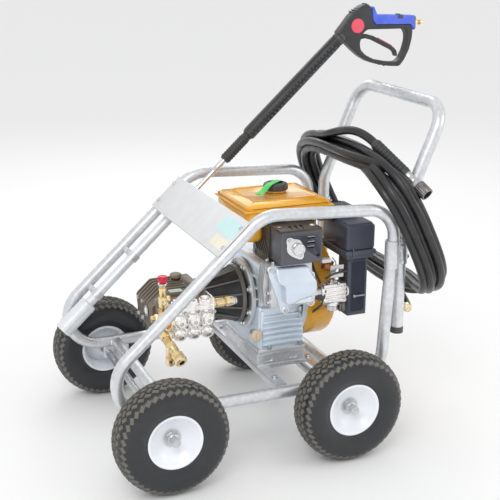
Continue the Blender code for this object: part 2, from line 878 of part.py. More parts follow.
def make_crankshaft():
    """The shaft from the pump coupling to the starter, with its webs and flywheel."""
    middle = (ENGINE_LEFT + ENGINE_RIGHT) / 2
    web = 0.024
    wheel = ENGINE_RIGHT + 0.020
    wheel_end = wheel + FLYWHEEL_WIDTH
    end = ENGINE_RIGHT + BLOWER_DEPTH - 0.020
    start = COUPLING_X + GAP / 2
    outline = [
        (0, 0),
        (SHAFT_RADIUS, 0),
        (SHAFT_RADIUS, middle - web - start),
        (WEB_RADIUS, middle - web - start),
        (WEB_RADIUS, middle + web - start),
        (SHAFT_RADIUS, middle + web - start),
        (SHAFT_RADIUS, wheel - start),
        (FLYWHEEL_RADIUS, wheel - start),
        (FLYWHEEL_RADIUS, wheel_end - start),
        (0.030, wheel_end - start),
        (0.030, end - start),
        (0, end - start),
    ]
    turned("crankshaft", outline, (start, 0, SHAFT_Z), (1, 0, 0), BARE_STEEL, 18)


def make_blower():
    """The fan housing: a cup over the flywheel, open to the engine, with an air intake."""
    start = ENGINE_RIGHT + BLOWER_FLANGE_GAP
    outline = [
        (BLOWER_RADIUS - BLOWER_WALL, 0),
        (BLOWER_RADIUS, 0),
        (BLOWER_RADIUS, BLOWER_DEPTH - 0.020),
        (BLOWER_RADIUS - 0.030, BLOWER_DEPTH),
        (0.016, BLOWER_DEPTH),
        (0.016, BLOWER_DEPTH - BLOWER_WALL),
        (BLOWER_RADIUS - 0.032, BLOWER_DEPTH - BLOWER_WALL),
        (BLOWER_RADIUS - BLOWER_WALL, BLOWER_DEPTH - 0.022),
    ]
    turned("blower_housing", outline, (start, 0, SHAFT_Z), (1, 0, 0), ORANGE_PAINT, 20)
    low = math.sqrt(BLOWER_RADIUS**2 - (GRIP_Z - SHAFT_Z) ** 2) + 0.006
    half = GRIP_LENGTH / 2
    grip = rod(
        "starter_grip",
        (GRIP_X - half + 0.008, low + 0.012, GRIP_Z),
        (GRIP_X + half - 0.008, low + 0.012, GRIP_Z),
        GRIP_RADIUS,
        BLACK_PLASTIC,
        10,
    )
    neck = rod(
        "starter_grip_neck",
        (GRIP_X, low, GRIP_Z),
        (GRIP_X, low + 0.012, GRIP_Z),
        GRIP_RADIUS * 0.7,
        BLACK_PLASTIC,
        8,
    )
    join(grip, neck)


def make_tank():
    tank = block(
        "fuel_tank",
        (TANK_LEFT, TANK_FRONT, TANK_LEDGE),
        (TANK_RIGHT, TANK_BACK, TANK_HIGH),
        ORANGE_PAINT,
        TANK_CORNER,
    )
    sump = block(
        "tank_sump",
        (TANK_LEFT + 0.001, MUFFLER_BACK + 0.006, TANK_LOW),
        (TANK_RIGHT - 0.020, TANK_BACK - 0.001, TANK_HIGH - 0.020),
        ORANGE_PAINT,
        0.010,
    )
    skirt = block(
        "tank_skirt",
        (TANK_LEFT + 0.002, TANK_FRONT + 0.001, TANK_LOW + 0.001),
        (MUFFLER_LEFT - 0.006, MUFFLER_BACK + 0.030, TANK_HIGH - 0.019),
        ORANGE_PAINT,
        0.010,
    )
    neck = rod(
        "tank_neck",
        (FILLER_X, FILLER_Y, TANK_HIGH - 0.010),
        (FILLER_X, FILLER_Y, TANK_HIGH + FILLER_HEIGHT),
        FILLER_RADIUS,
        ORANGE_PAINT,
    )
    join(tank, sump, skirt, neck)
    top = TANK_HIGH + FILLER_HEIGHT + GAP
    cap = [
        (0, top),
        (round_bore(FILLER_RADIUS, CAP_SIDES), top),
        (round_bore(FILLER_RADIUS, CAP_SIDES), TANK_HIGH + 3 * GAP),
        (CAP_RADIUS, TANK_HIGH + 3 * GAP),
        (CAP_RADIUS, TANK_HIGH + CAP_HEIGHT - 0.003),
        (CAP_RADIUS - 0.004, TANK_HIGH + CAP_HEIGHT),
        (0, TANK_HIGH + CAP_HEIGHT),
    ]
    turned("fuel_cap", cap, (FILLER_X, FILLER_Y, 0), (0, 0, 1), BLACK_PLASTIC, CAP_SIDES)


def make_muffler():
    low = HEAD_HIGH + 0.004
    block(
        "muffler_guard",
        (MUFFLER_LEFT, MUFFLER_FRONT, low),
        (MUFFLER_RIGHT, MUFFLER_BACK, MUFFLER_HIGH),
        DARK_STEEL,
        0.005,
    )
    x = (MUFFLER_LEFT + MUFFLER_RIGHT) / 2 + OUTLET_SHIFT
    z = (low + MUFFLER_HIGH) / 2
    rod(
        "spark_arrester",
        (x, MUFFLER_FRONT - GAP, z),
        (x, MUFFLER_FRONT - OUTLET_DEPTH, z),
        OUTLET_RADIUS,
        STAINLESS,
        12,
    )


def make_air_cleaner():
    block(
        "air_cleaner_cover",
        (AIR_LEFT, AIR_FRONT, AIR_SPLIT),
        (AIR_RIGHT, AIR_BACK, AIR_HIGH),
        BLACK_PLASTIC,
        0.008,
    )
    block(
        "air_cleaner_base",
        (AIR_LEFT + AIR_INSET, AIR_FRONT + AIR_INSET, AIR_LOW),
        (AIR_RIGHT - AIR_INSET, BASE_BACK, AIR_SPLIT - GAP),
        BLACK_PLASTIC,
        0.005,
    )
    carb = block(
        "carburettor",
        (CARB_LEFT, CARB_FRONT, CARB_LOW),
        (AIR_LEFT + AIR_INSET - GAP, CARB_BACK, CARB_HIGH),
        CAST_ALUMINIUM,
        0.003,
    )
    throat = rod(
        "carburettor_throat",
        (ENGINE_RIGHT - 0.012 + GAP, CARB_BACK - 0.018, (CARB_LOW + CARB_HIGH) / 2 + 0.015),
        (CARB_LEFT + 0.010, CARB_BACK - 0.018, (CARB_LOW + CARB_HIGH) / 2 + 0.015),
        0.013,
        CAST_ALUMINIUM,
        10,
    )
    pin = rod(
        "lever_pin",
        (LEVER_PIVOT_X, (CARB_FRONT + CARB_BACK) / 2, CARB_HIGH - 0.002),
        (LEVER_PIVOT_X, (CARB_FRONT + CARB_BACK) / 2, CARB_HIGH + 0.008),
        LEVER_PIN,
        CAST_ALUMINIUM,
        LEVER_PIN_SIDES,
    )
    join(carb, throat, pin)
    middle = (CARB_FRONT + CARB_BACK) / 2
    lever = block(
        "throttle_lever",
        (LEVER_PIVOT_X - LEVER_WIDTH, middle - LEVER_LENGTH, CARB_HIGH + 0.003),
        (LEVER_PIVOT_X + LEVER_WIDTH, middle + LEVER_WIDTH, CARB_HIGH + 0.003 + LEVER_SHEET),
        BARE_STEEL,
    )
    eye = rod(
        "lever_eye",
        (LEVER_PIVOT_X, middle, CARB_HIGH - 0.01),
        (LEVER_PIVOT_X, middle, CARB_HIGH + 0.02),
        round_bore(LEVER_PIN, LEVER_PIN_SIDES),
        BARE_STEEL,
        LEVER_PIN_SIDES,
    )
    cut(lever, eye)


def make_pump():
    case = block(
        "pump_crankcase",
        (PUMP_LEFT, PUMP_FRONT, PUMP_LOW),
        (PUMP_RIGHT, PUMP_BACK, PUMP_HIGH),
        PUMP_BROWN,
        0.012,
    )
    bore = rod(
        "pump_bore",
        (PUMP_LEFT + 0.020, 0, SHAFT_Z),
        (PUMP_RIGHT + 0.02, 0, SHAFT_Z),
        SHAFT_RADIUS + 2 * GAP,
        PUMP_BROWN,
    )
    cut(case, bore)
    rod(
        "pump_shaft",
        (PUMP_LEFT + 0.021, 0, SHAFT_Z),
        (COUPLING_X - GAP / 2, 0, SHAFT_Z),
        SHAFT_RADIUS,
        BARE_STEEL,
        12,
    )
    start = PUMP_RIGHT + GAP
    length = ENGINE_LEFT - COVER_THICKNESS - GAP - start
    bell = [
        (SHAFT_RADIUS + 0.004, 0),
        (BELL_SMALL, 0),
        (BELL_SMALL, length * 0.25),
        (BELL_LARGE, length),
        (BELL_LARGE - BELL_WALL, length),
        (BELL_SMALL - BELL_WALL, length * 0.3),
        (BELL_SMALL - BELL_WALL, 0.008),
        (SHAFT_RADIUS + 0.004, 0.008),
    ]
    turned("bell_housing", bell, (start, 0, SHAFT_Z), (1, 0, 0), BLACK_PAINT, 16)
    head = block(
        "pump_head",
        (HEAD_LEFT, PUMP_HEAD_FRONT, PUMP_HEAD_LOW),
        (HEAD_RIGHT, PUMP_FRONT - GAP, PUMP_HEAD_HIGH),
        NICKEL,
        0.004,
    )
    pitch = (HEAD_RIGHT - HEAD_LEFT) / VALVE_COUNT
    rows = (PUMP_HEAD_HIGH - VALVE_RADIUS - 0.006, PUMP_HEAD_LOW + VALVE_RADIUS + 0.004)
    for index in range(VALVE_COUNT):
        x = HEAD_LEFT + pitch * (index + 0.5)
        for row, z in enumerate(rows):
            cap = rod(
                f"valve_cap_{index}_{row}",
                (x, PUMP_HEAD_FRONT + 0.004, z),
                (x, PUMP_HEAD_FRONT - VALVE_PROUD, z),
                VALVE_RADIUS,
                NICKEL,
                6,
            )
            join(head, cap)


def make_plumbing():
    body = rod(
        "unloader_body",
        (UNLOADER_X, UNLOADER_Y, UNLOADER_LOW),
        (UNLOADER_X, UNLOADER_Y, UNLOADER_HIGH),
        UNLOADER_RADIUS,
        BRASS,
        10,
    )
    arm_z = OUTLET_Z - 0.010
    arm = rod(
        "unloader_arm",
        (UNLOADER_X, UNLOADER_Y, arm_z),
        (HEAD_LEFT - GAP, UNLOADER_Y, arm_z),
        UNLOADER_RADIUS * 0.9,
        BRASS,
        10,
    )
    join(body, arm)
    knob = [
        (0, 0),
        (KNOB_RADIUS * 0.6, 0),
        (KNOB_RADIUS, KNOB_HEIGHT * 0.4),
        (KNOB_RADIUS, KNOB_HEIGHT * 0.85),
        (KNOB_RADIUS * 0.7, KNOB_HEIGHT),
        (0, KNOB_HEIGHT),
    ]
    place = (UNLOADER_X, UNLOADER_Y, UNLOADER_HIGH + GAP)
    turned("unloader_knob", knob, place, (0, 0, 1), RED_PLASTIC, 10)
    rod(
        "outlet_fitting",
        (HEAD_RIGHT + GAP, UNLOADER_Y, OUTLET_Z),
        (HEAD_RIGHT + OUTLET_LENGTH, UNLOADER_Y, OUTLET_Z),
        OUTLET_TUBE,
        BRASS,
        8,
    )
    start_x = HEAD_LEFT - WATER_INLET_STANDOFF
    start = Vector((start_x, INLET_Y, PUMP_HEAD_LOW + WATER_INLET_RISE))
    elbow = start + Vector((0.008, -0.048, -0.030))
    end = elbow + Vector((0.014, -0.036, -0.020))
    pipe = rod("inlet_fitting", start, end, INLET_TUBE, BRASS, 10)
    along = (end - start).normalized()
    nut = rod("inlet_nut", end - along * 0.024, end + along * 0.004, INLET_NUT, BRASS, 6)
    stub = rod("inlet_stub", elbow, elbow - Vector((0, 0, 0.040)), INLET_TUBE, BRASS, 10)
    arm = rod(
        "inlet_arm",
        start,
        (HEAD_LEFT - GAP, INLET_Y, start.z),
        INLET_TUBE * 0.9,
        BRASS,
        10,
    )
    join(pipe, nut, stub, arm)


def coil_point(turn, outwards=0.0):
    """A point round the hose coil: a rounded rectangle, leaning forwards at its top."""
    side = math.cos(turn)
    rise = math.sin(turn)
    power = 2 / COIL_SQUARENESS
    y = math.copysign(abs(side) ** power, side) * (COIL_HALF_WIDTH + outwards)
    up = math.copysign(abs(rise) ** power, rise) * (COIL_HALF_HEIGHT + outwards)
    x = COIL_X - up * math.sin(COIL_LEAN)
    return Vector((x, y, COIL_Z + up * math.cos(COIL_LEAN)))


def make_hose():
    steps = 40
    route = [coil_point(2 * math.pi * step / steps) for step in range(steps)]
    bent_tube("hose_coil", route, BUNDLE_RADIUS, HOSE_RUBBER, closed=True)
    along = Vector(COUPLING_TIP) - Vector(COUPLING_START)
    sleeve = along.length * SLEEVE_SHARE
    ferrule = along.length * FERRULE_SHARE
    outline = [
        (0, 0),
        (HOSE_RADIUS, 0),
        (SLEEVE_RADIUS, 0.006),
        (SLEEVE_RADIUS, sleeve),
        (FERRULE_RADIUS, sleeve),
        (FERRULE_RADIUS, ferrule),
        (COUPLING_RADIUS, ferrule),
        (COUPLING_RADIUS, along.length),
        (0, along.length),
    ]
    turned("hose_coupling", outline, COUPLING_START, along.normalized(), BARE_STEEL, 10)
    along = Vector(TAIL_TIP) - Vector(TAIL_START)
    half = along.length / 2
    outline = [
        (0, 0),
        (HOSE_RADIUS + 0.001, 0),
        (HOSE_RADIUS + 0.001, half),
        (TAIL_RADIUS, half),
        (TAIL_RADIUS, along.length),
        (0, along.length),
    ]
    turned("hose_tail_fitting", outline, TAIL_START, along.normalized(), BRASS, 10)


def make_washer():
    make_hoops()
    make_axles()
    make_wheels()
    make_handle()
    make_deck()
    make_panel()
    make_holder()
    make_lance()
    make_gun()
    make_crankcase()
    make_crankshaft()
    make_blower()
    make_tank()
    make_muffler()
    make_air_cleaner()
    make_pump()
    make_plumbing()
    make_hose()


COUPLING_X = (PUMP_RIGHT + ENGINE_LEFT - COVER_THICKNESS) / 2
BASE_BACK = CARB_BACK + 0.030

clear_scene()
GALVANISED = finish("galvanised_steel", (0.62, 0.64, 0.66), 0.38, 0.85)
BARE_STEEL = finish("bare_steel", (0.50, 0.50, 0.50), 0.35, 1.0)
STAINLESS = finish("stainless_steel", (0.72, 0.72, 0.72), 0.22, 1.0)
RUBBER = finish("black_rubber", (0.015, 0.015, 0.017), 0.70)
HOSE_RUBBER = finish("hose_rubber", (0.020, 0.020, 0.022), 0.45)
WHITE_PAINT = finish("white_paint", (0.85, 0.87, 0.90), 0.35)
PANEL_GREY = finish("panel_grey", (0.72, 0.73, 0.74), 0.45)
CAST_ALUMINIUM = finish("cast_aluminium", (0.48, 0.49, 0.50), 0.50, 0.8)
SILVER_PAINT = finish("silver_paint", (0.60, 0.66, 0.72), 0.40, 0.6)
ORANGE_PAINT = finish("orange_paint", (0.90, 0.42, 0.03), 0.25)
DARK_STEEL = finish("dark_steel", (0.06, 0.06, 0.07), 0.45, 0.5)
BLACK_PLASTIC = finish("black_plastic", (0.02, 0.02, 0.022), 0.50)
BLACK_PAINT = finish("black_paint", (0.025, 0.025, 0.03), 0.40)
BLUE_PLASTIC = finish("blue_plastic", (0.08, 0.15, 0.75), 0.40)
RED_PLASTIC = finish("red_plastic", (0.75, 0.02, 0.06), 0.40)
CREAM_PLASTIC = finish("cream_plastic", (0.80, 0.66, 0.45), 0.50)
PUMP_BROWN = finish("pump_brown", (0.08, 0.06, 0.05), 0.45, 0.3)
NICKEL = finish("nickel_plate", (0.62, 0.60, 0.58), 0.30, 1.0)
BRASS = finish("brass", (0.75, 0.52, 0.20), 0.30, 1.0)

DATUM = bpy.data.objects.new("washer_datum", None)
bpy.context.collection.objects.link(DATUM)
DATUM.location.x = -ORIGIN_X
make_washer()
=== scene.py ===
import math
import random

import bpy
from mathutils import Matrix, Vector


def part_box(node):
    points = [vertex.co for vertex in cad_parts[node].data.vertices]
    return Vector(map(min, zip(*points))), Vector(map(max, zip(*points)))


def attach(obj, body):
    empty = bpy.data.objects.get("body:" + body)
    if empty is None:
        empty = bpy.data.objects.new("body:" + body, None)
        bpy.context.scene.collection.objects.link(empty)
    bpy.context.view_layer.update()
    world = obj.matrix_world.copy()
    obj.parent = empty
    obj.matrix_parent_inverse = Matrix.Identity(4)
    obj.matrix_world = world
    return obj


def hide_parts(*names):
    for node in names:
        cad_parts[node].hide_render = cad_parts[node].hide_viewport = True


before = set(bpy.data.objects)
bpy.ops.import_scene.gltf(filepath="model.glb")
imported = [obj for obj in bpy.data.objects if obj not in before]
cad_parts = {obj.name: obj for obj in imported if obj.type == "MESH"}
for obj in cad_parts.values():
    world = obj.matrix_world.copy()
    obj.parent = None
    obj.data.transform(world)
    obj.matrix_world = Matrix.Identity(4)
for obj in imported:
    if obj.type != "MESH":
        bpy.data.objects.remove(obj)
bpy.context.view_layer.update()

frontAxle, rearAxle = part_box("front_axle"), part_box("rear_axle")
axleMiddle = (frontAxle[0].x + frontAxle[1].x + rearAxle[0].x + rearAxle[1].x) / 4
axleSpread = (rearAxle[0].x + rearAxle[1].x - frontAxle[0].x - frontAxle[1].x) / 4
sides = {"near": -1, "far": 1}
up = Vector((0, 0, 1))
sideways = Vector((0, 1, 0))
forwards = Vector((1, 0, 0))


def at(x, y, z):
    """A place whose x is counted from the middle between the axles."""
    return Vector((axleMiddle + x, y, z))


# ---- small tools of the bench


def deselect():
    bpy.ops.object.select_all(action="DESELECT")


def choose(*objects):
    deselect()
    for obj in objects:
        obj.select_set(True)
    bpy.context.view_layer.objects.active = objects[0]
    return objects[0]


def applied(obj, kind, **settings):
    choose(obj)
    modifier = obj.modifiers.new(kind.lower(), kind)
    for key, value in settings.items():
        setattr(modifier, key, value)
    bpy.ops.object.modifier_apply(modifier=modifier.name)
    return obj


def bevelled(obj, width, segments=3, angle=35):
    return applied(obj, "BEVEL", width=width, segments=segments, limit_method="ANGLE",
                   angle_limit=math.radians(angle))


def cutBy(obj, *cutters):
    for cutter in cutters:
        applied(obj, "BOOLEAN", operation="DIFFERENCE", solver="EXACT", object=cutter)
        bpy.data.objects.remove(cutter)
    return obj


def joined(*objects):
    choose(*objects)
    if len(objects) > 1:
        bpy.ops.object.join()
    return bpy.context.object


def copied(obj, placing):
    twin = obj.copy()
    twin.data = obj.data.copy()
    twin.data.transform(placing)
    bpy.context.collection.objects.link(twin)
    return twin


def turnTo(direction):
    return up.rotation_difference(Vector(direction)).to_matrix().to_4x4()


def placed(obj, place, direction=up):
    obj.data.transform(Matrix.Translation(Vector(place)) @ turnTo(direction))
    return obj


def outwards():
    bpy.ops.mesh.select_all(action="SELECT")
    bpy.ops.mesh.remove_doubles(threshold=1e-6)
    bpy.ops.mesh.normals_make_consistent(inside=False)


def turned(profile, place=(0, 0, 0), direction=up, steps=32, hollow=False):
    """Pulls a circle out along its axis through (radius, distance) rings."""
    deselect()
    radius, along = profile[0]
    bpy.ops.mesh.primitive_circle_add(vertices=steps, radius=radius,
                                      fill_type="NOTHING" if hollow else "NGON")
    obj = bpy.context.object
    bpy.ops.object.mode_set(mode="EDIT")
    bpy.ops.mesh.select_mode(type="VERT")
    bpy.ops.mesh.select_all(action="SELECT")
    bpy.ops.transform.translate(value=(0, 0, along))
    for nextRadius, nextAlong in profile[1:] + (profile[:1] if hollow else []):
        bpy.ops.mesh.extrude_region_move(
            TRANSFORM_OT_translate={"value": (0, 0, nextAlong - along)})
        grow = nextRadius / radius
        bpy.ops.transform.resize(value=(grow, grow, 1), center_override=(0, 0, nextAlong))
        radius, along = nextRadius, nextAlong
    outwards()
    bpy.ops.object.mode_set(mode="OBJECT")
    return placed(obj, place, direction)


def block(low, high, bevel=0.002, segments=2):
    deselect()
    low, high = Vector(low), Vector(high)
    bpy.ops.mesh.primitive_cube_add(size=1, location=(low + high) / 2, scale=high - low)
    obj = bpy.context.object
    bpy.ops.object.transform_apply(location=True, rotation=True, scale=True)
    return bevelled(obj, bevel, segments) if bevel else obj


def facesTowards(obj, normal, test=None):
    """Enters edit mode with the faces that look one way selected."""
    choose(obj)
    normal = Vector(normal)
    for item in (*obj.data.vertices, *obj.data.edges, *obj.data.polygons):
        item.select = False
    for polygon in obj.data.polygons:
        wanted = polygon.normal.dot(normal) > 0.94
        polygon.select = wanted and (test is None or test(polygon.center))
    bpy.ops.object.mode_set(mode="EDIT")
    bpy.ops.mesh.select_mode(type="FACE")


def stepped(obj, normal, inset, travel, test=None):
    """Insets a face and moves the middle along the normal: a raised pad or a shallow pocket."""
    facesTowards(obj, normal, test)
    bpy.ops.mesh.inset(thickness=inset)
    bpy.ops.mesh.extrude_region_move(
        TRANSFORM_OT_translate={"value": Vector(normal) * travel})
    bpy.ops.object.mode_set(mode="OBJECT")
    return obj


def sheetFrom(outline, low, high, bevel=0.0, segments=2, holes=()):
    """A flat outline of (x, z) points with thickness from y = low to y = high."""
    curve = bpy.data.curves.new("outline", "CURVE")
    curve.dimensions = "2D"
    curve.fill_mode = "BOTH"
    curve.extrude = (high - low) / 2 - bevel
    curve.bevel_depth = bevel
    curve.offset = -bevel
    curve.bevel_resolution = segments
    for ring in (outline, *holes):
        spline = curve.splines.new("POLY")
        spline.points.add(len(ring) - 1)
        spline.use_cyclic_u = True
        for point, (x, z) in zip(spline.points, ring):
            point.co = (x, z, 0, 1)
    obj = bpy.data.objects.new("outline", curve)
    bpy.context.collection.objects.link(obj)
    choose(obj)
    bpy.ops.object.convert(target="MESH")
    obj = bpy.context.object
    stand = Matrix.Rotation(math.radians(90), 4, "X")
    obj.data.transform(Matrix.Translation((0, (low + high) / 2, 0)) @ stand)
    choose(obj)
    bpy.ops.object.mode_set(mode="EDIT")
    outwards()
    bpy.ops.object.mode_set(mode="OBJECT")
    return obj


def softened(corners, reach, steps=5):
    """Rounds the corners of a closed outline, each over the given reach."""
    made = []
    for index, corner in enumerate(corners):
        corner = Vector(corner)
        size = reach[index] if isinstance(reach, (list, tuple)) else reach
        before = Vector(corners[index - 1]) - corner
        after = Vector(corners[(index + 1) % len(corners)]) - corner
        first = corner + before.normalized() * min(size, before.length * 0.48)
        last = corner + after.normalized() * min(size, after.length * 0.48)
        for step in range(steps + 1):
            t = step / steps
            made.append(tuple(first * (1 - t) ** 2 + corner * 2 * t * (1 - t) + last * t * t))
    return made


def bentRoute(corners, closed, steps=14):
    """Runs straight between corners and turns each one on its own bend radius."""
    route = []
    count = len(corners)
    for index, (corner, radius) in enumerate(corners):
        if radius == 0:
            route.append(corner)
            continue
        before = (corners[index - 1][0] - corner).normalized()
        after = (corners[(index + 1) % count][0] - corner).normalized()
        half = before.angle(after) / 2
        centre = corner + (before + after).normalized() * radius / math.sin(half)
        first = corner + before * radius / math.tan(half) - centre
        last = corner + after * radius / math.tan(half) - centre
        normal = first.cross(last).normalized()
        for step in range(steps + 1):
            turn = Matrix.Rotation(first.angle(last) * step / steps, 3, normal)
            route.append(centre + turn @ first)
    return route


def smoothRoute(points, perSpan=6):
    """A Catmull-Rom line through a few chosen points."""
    points = [Vector(p) for p in points]
    ends = [2 * points[0] - points[1], *points, 2 * points[-1] - points[-2]]
    route = []
    for a, b, c, d in zip(ends, ends[1:], ends[2:], ends[3:]):
        for step in range(perSpan):
            t = step / perSpan
            route.append(0.5 * ((2 * b) + (c - a) * t + (2 * a - 5 * b + 4 * c - d) * t * t
                                + (3 * b - a - 3 * c + d) * t ** 3))
    return [*route, points[-1]]


def line(route, radius, closed=False, roundness=8):
    """A round bar or tube along a route, still a curve."""
    curve = bpy.data.curves.new("line", "CURVE")
    curve.dimensions = "3D"
    curve.bevel_depth = radius
    curve.bevel_resolution = roundness
    curve.use_fill_caps = True
    spline = curve.splines.new("POLY")
    spline.points.add(len(route) - 1)
    spline.use_cyclic_u = closed
    for point, place in zip(spline.points, route):
        point.co = (*place, 1)
    obj = bpy.data.objects.new("line", curve)
    bpy.context.collection.objects.link(obj)
    return obj


def tube(route, radius, closed=False, roundness=8):
    obj = line(route, radius, closed, roundness)
    choose(obj)
    bpy.ops.object.convert(target="MESH")
    obj = bpy.context.object
    bpy.ops.object.mode_set(mode="EDIT")
    outwards()
    bpy.ops.object.mode_set(mode="OBJECT")
    return obj


def handedOver(obj, name, body, finish, stands=(), angle=35):
    """Names a finished piece, gives it its finish and hangs it on its body."""
    obj.name = obj.data.name = name
    obj.data.materials.clear()
    obj.data.materials.append(finish)
    if obj.type == "MESH":
        choose(obj)
        bpy.ops.object.shade_smooth_by_angle(angle=math.radians(angle))
    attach(obj, body)
    if stands:
        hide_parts(*stands)
    return obj


def boltHead(radius=0.0055, height=0.004, washer=1.35):
    """A hexagon head on its washer, standing on the floor."""
    disc = turned([(radius * washer, 0), (radius * washer, 0.0008), (radius * 1.1, 0.001)], steps=20)
    head = turned([(radius, 0.0008), (radius, height), (radius * 0.86, height + 0.0008)], steps=6)
    return joined(disc, head)


def boltsAt(places, radius=0.0055, height=0.004):
    """Copies of one bolt head at (place, direction) pairs, as one piece."""
    master = boltHead(radius, height)
    copies = [copied(master, Matrix.Translation(Vector(place)) @ turnTo(direction))
              for place, direction in places]
    bpy.data.objects.remove(master)
    return joined(*copies)


# ---- finishes


def newFinish(name, colour, roughness, metallic=0.0, **sockets):
    made = bpy.data.materials.new(name)
    made.use_nodes = True
    tree = made.node_tree
    shader = tree.nodes["Principled BSDF"]
    shader.inputs["Base Color"].default_value = (*colour, 1)
    shader.inputs["Roughness"].default_value = roughness
    shader.inputs["Metallic"].default_value = metallic
    for key, value in sockets.items():
        shader.inputs[key.replace("_", " ")].default_value = value
    return made, tree, shader


def node(tree, kind, links=None, **settings):
    made = tree.nodes.new(kind)
    for key, value in settings.items():
        if hasattr(made, key):
            setattr(made, key, value)
        else:
            made.inputs[key.replace("_", " ")].default_value = value
    for socket, source in (links or {}).items():
        tree.links.new(source, made.inputs[socket])
    return made


def speckle(tree, scale, detail=4.0, kind="ShaderNodeTexNoise", stretch=(1, 1, 1), **settings):
    """A pattern in object space, read as a number from 0 to 1."""
    place = node(tree, "ShaderNodeTexCoord").outputs["Object"]
    mapping = node(tree, "ShaderNodeMapping", {"Vector": place})
    mapping.inputs["Scale"].default_value = stretch
    links = {"Vector": mapping.outputs["Vector"]}
    if kind == "ShaderNodeTexNoise":
        return node(tree, kind, links, Scale=scale, Detail=detail, **settings).outputs[0]
    made = node(tree, kind, links, **settings)
    made.inputs["Scale"].default_value = scale
    return made.outputs[0]


def between(tree, value, low, high, fromLow=0.3, fromHigh=0.7):
    made = node(tree, "ShaderNodeMapRange", {"Value": value})
    for key, number in (("From Min", fromLow), ("From Max", fromHigh), ("To Min", low), ("To Max", high)):
        made.inputs[key].default_value = number
    return made.outputs[0]


def blended(tree, share, first, second):
    """One colour turning into another as share goes from 0 to 1."""
    made = node(tree, "ShaderNodeMix", data_type="RGBA")
    tree.links.new(share, made.inputs[0])
    for index, colour in ((6, first), (7, second)):
        if isinstance(colour, tuple):
            made.inputs[index].default_value = (*colour, 1)
        else:
            tree.links.new(colour, made.inputs[index])
    return made.outputs[2]


def roughen(tree, shader, height, strength, distance=0.001):
    bump = node(tree, "ShaderNodeBump", {"Height": height})
    bump.inputs["Strength"].default_value = strength
    bump.inputs["Distance"].default_value = distance
    tree.links.new(bump.outputs["Normal"], shader.inputs["Normal"])


def edges(tree, low=0.505, high=0.56):
    """Where the surface is sharp and outward, for wear."""
    return between(tree, node(tree, "ShaderNodeNewGeometry").outputs["Pointiness"], 0, 1, low, high)


def layered(name, colours, roughness, metallic=0.0, grain=60, bump=0.15, bumpGrain=None,
            worn=None, dust=None, **sockets):
    """The usual build-up: two mottled tones, uneven gloss, a fine surface and worn edges."""
    made, tree, shader = newFinish(name, colours[0], roughness[0], metallic, **sockets)
    tone = between(tree, speckle(tree, grain), 0, 1)
    colour = blended(tree, tone, colours[0], colours[1])
    if dust:
        cloud = between(tree, speckle(tree, 9, 6), 0, dust[1], 0.45, 0.75)
        colour = blended(tree, cloud, colour, dust[0])
    if worn:
        colour = blended(tree, edges(tree), colour, worn)
    tree.links.new(colour, shader.inputs["Base Color"])
    tree.links.new(between(tree, speckle(tree, grain * 0.4), *roughness), shader.inputs["Roughness"])
    roughen(tree, shader, speckle(tree, bumpGrain or grain * 8), bump)
    return made


def galvanisedZinc():
    made, tree, shader = newFinish("galvanised_zinc", (0.7, 0.72, 0.74), 0.34, 0.72)
    spangle = speckle(tree, 90, kind="ShaderNodeTexVoronoi", feature="F1")
    cloud = speckle(tree, 14, 6)
    colour = blended(tree, between(tree, spangle, 0, 1, 0.0, 0.75), (0.80, 0.82, 0.84), (0.66, 0.68, 0.71))
    colour = blended(tree, between(tree, cloud, 0, 0.5, 0.5, 0.72), colour, (0.56, 0.57, 0.58))
    tree.links.new(colour, shader.inputs["Base Color"])
    tree.links.new(between(tree, cloud, 0.26, 0.46), shader.inputs["Roughness"])
    roughen(tree, shader, speckle(tree, 160, 6), 0.22)
    return made


def castMetal(name, colours, roughness=(0.36, 0.56), metallic=0.85):
    made, tree, shader = newFinish(name, colours[0], roughness[0], metallic)
    tone = between(tree, speckle(tree, 24, 8), 0, 1)
    colour = blended(tree, tone, colours[0], colours[1])
    # Painted shade: an ambient-occlusion mask darkens the colour towards near-black in hollows and between parts, where
    # shade falls.
    hollow = node(tree, "ShaderNodeAmbientOcclusion", samples=6)
    hollow.inputs["Distance"].default_value = 0.012
    paintedShade = between(tree, hollow.outputs["AO"], 1, 0, 0.35, 0.95)
    colour = blended(tree, paintedShade, colour, tuple(c * 0.28 for c in colours[1]))
    colour = blended(tree, edges(tree), colour, tuple(min(1, c * 1.25) for c in colours[0]))
    tree.links.new(colour, shader.inputs["Base Color"])
    tree.links.new(between(tree, speckle(tree, 60), *roughness), shader.inputs["Roughness"])
    roughen(tree, shader, speckle(tree, 520, 3), 0.35)
    return made


def sidewallRubber():
    made, tree, shader = newFinish("sidewall_rubber", (0.012, 0.013, 0.016), 0.30, Coat_Weight=0.25,
                                   Coat_Roughness=0.22, Specular_IOR_Level=0.55)
    dusty = between(tree, speckle(tree, 18, 8), 0, 0.35, 0.5, 0.75)
    tree.links.new(blended(tree, dusty, (0.011, 0.012, 0.016), (0.035, 0.035, 0.034)), shader.inputs["Base Color"])
    tree.links.new(between(tree, speckle(tree, 35), 0.26, 0.42), shader.inputs["Roughness"])
    roughen(tree, shader, speckle(tree, 300), 0.10)
    return made


def treadRubber():
    made, tree, shader = newFinish("tread_rubber", (0.05, 0.047, 0.042), 0.8)
    dust = between(tree, speckle(tree, 40, 6), 0, 1, 0.35, 0.65)
    colour = blended(tree, dust, (0.030, 0.029, 0.027), (0.105, 0.097, 0.083))
    tree.links.new(blended(tree, edges(tree), colour, (0.16, 0.15, 0.13)), shader.inputs["Base Color"])
    tree.links.new(between(tree, dust, 0.7, 0.92, 0, 1), shader.inputs["Roughness"])
    roughen(tree, shader, speckle(tree, 420), 0.35)
    return made


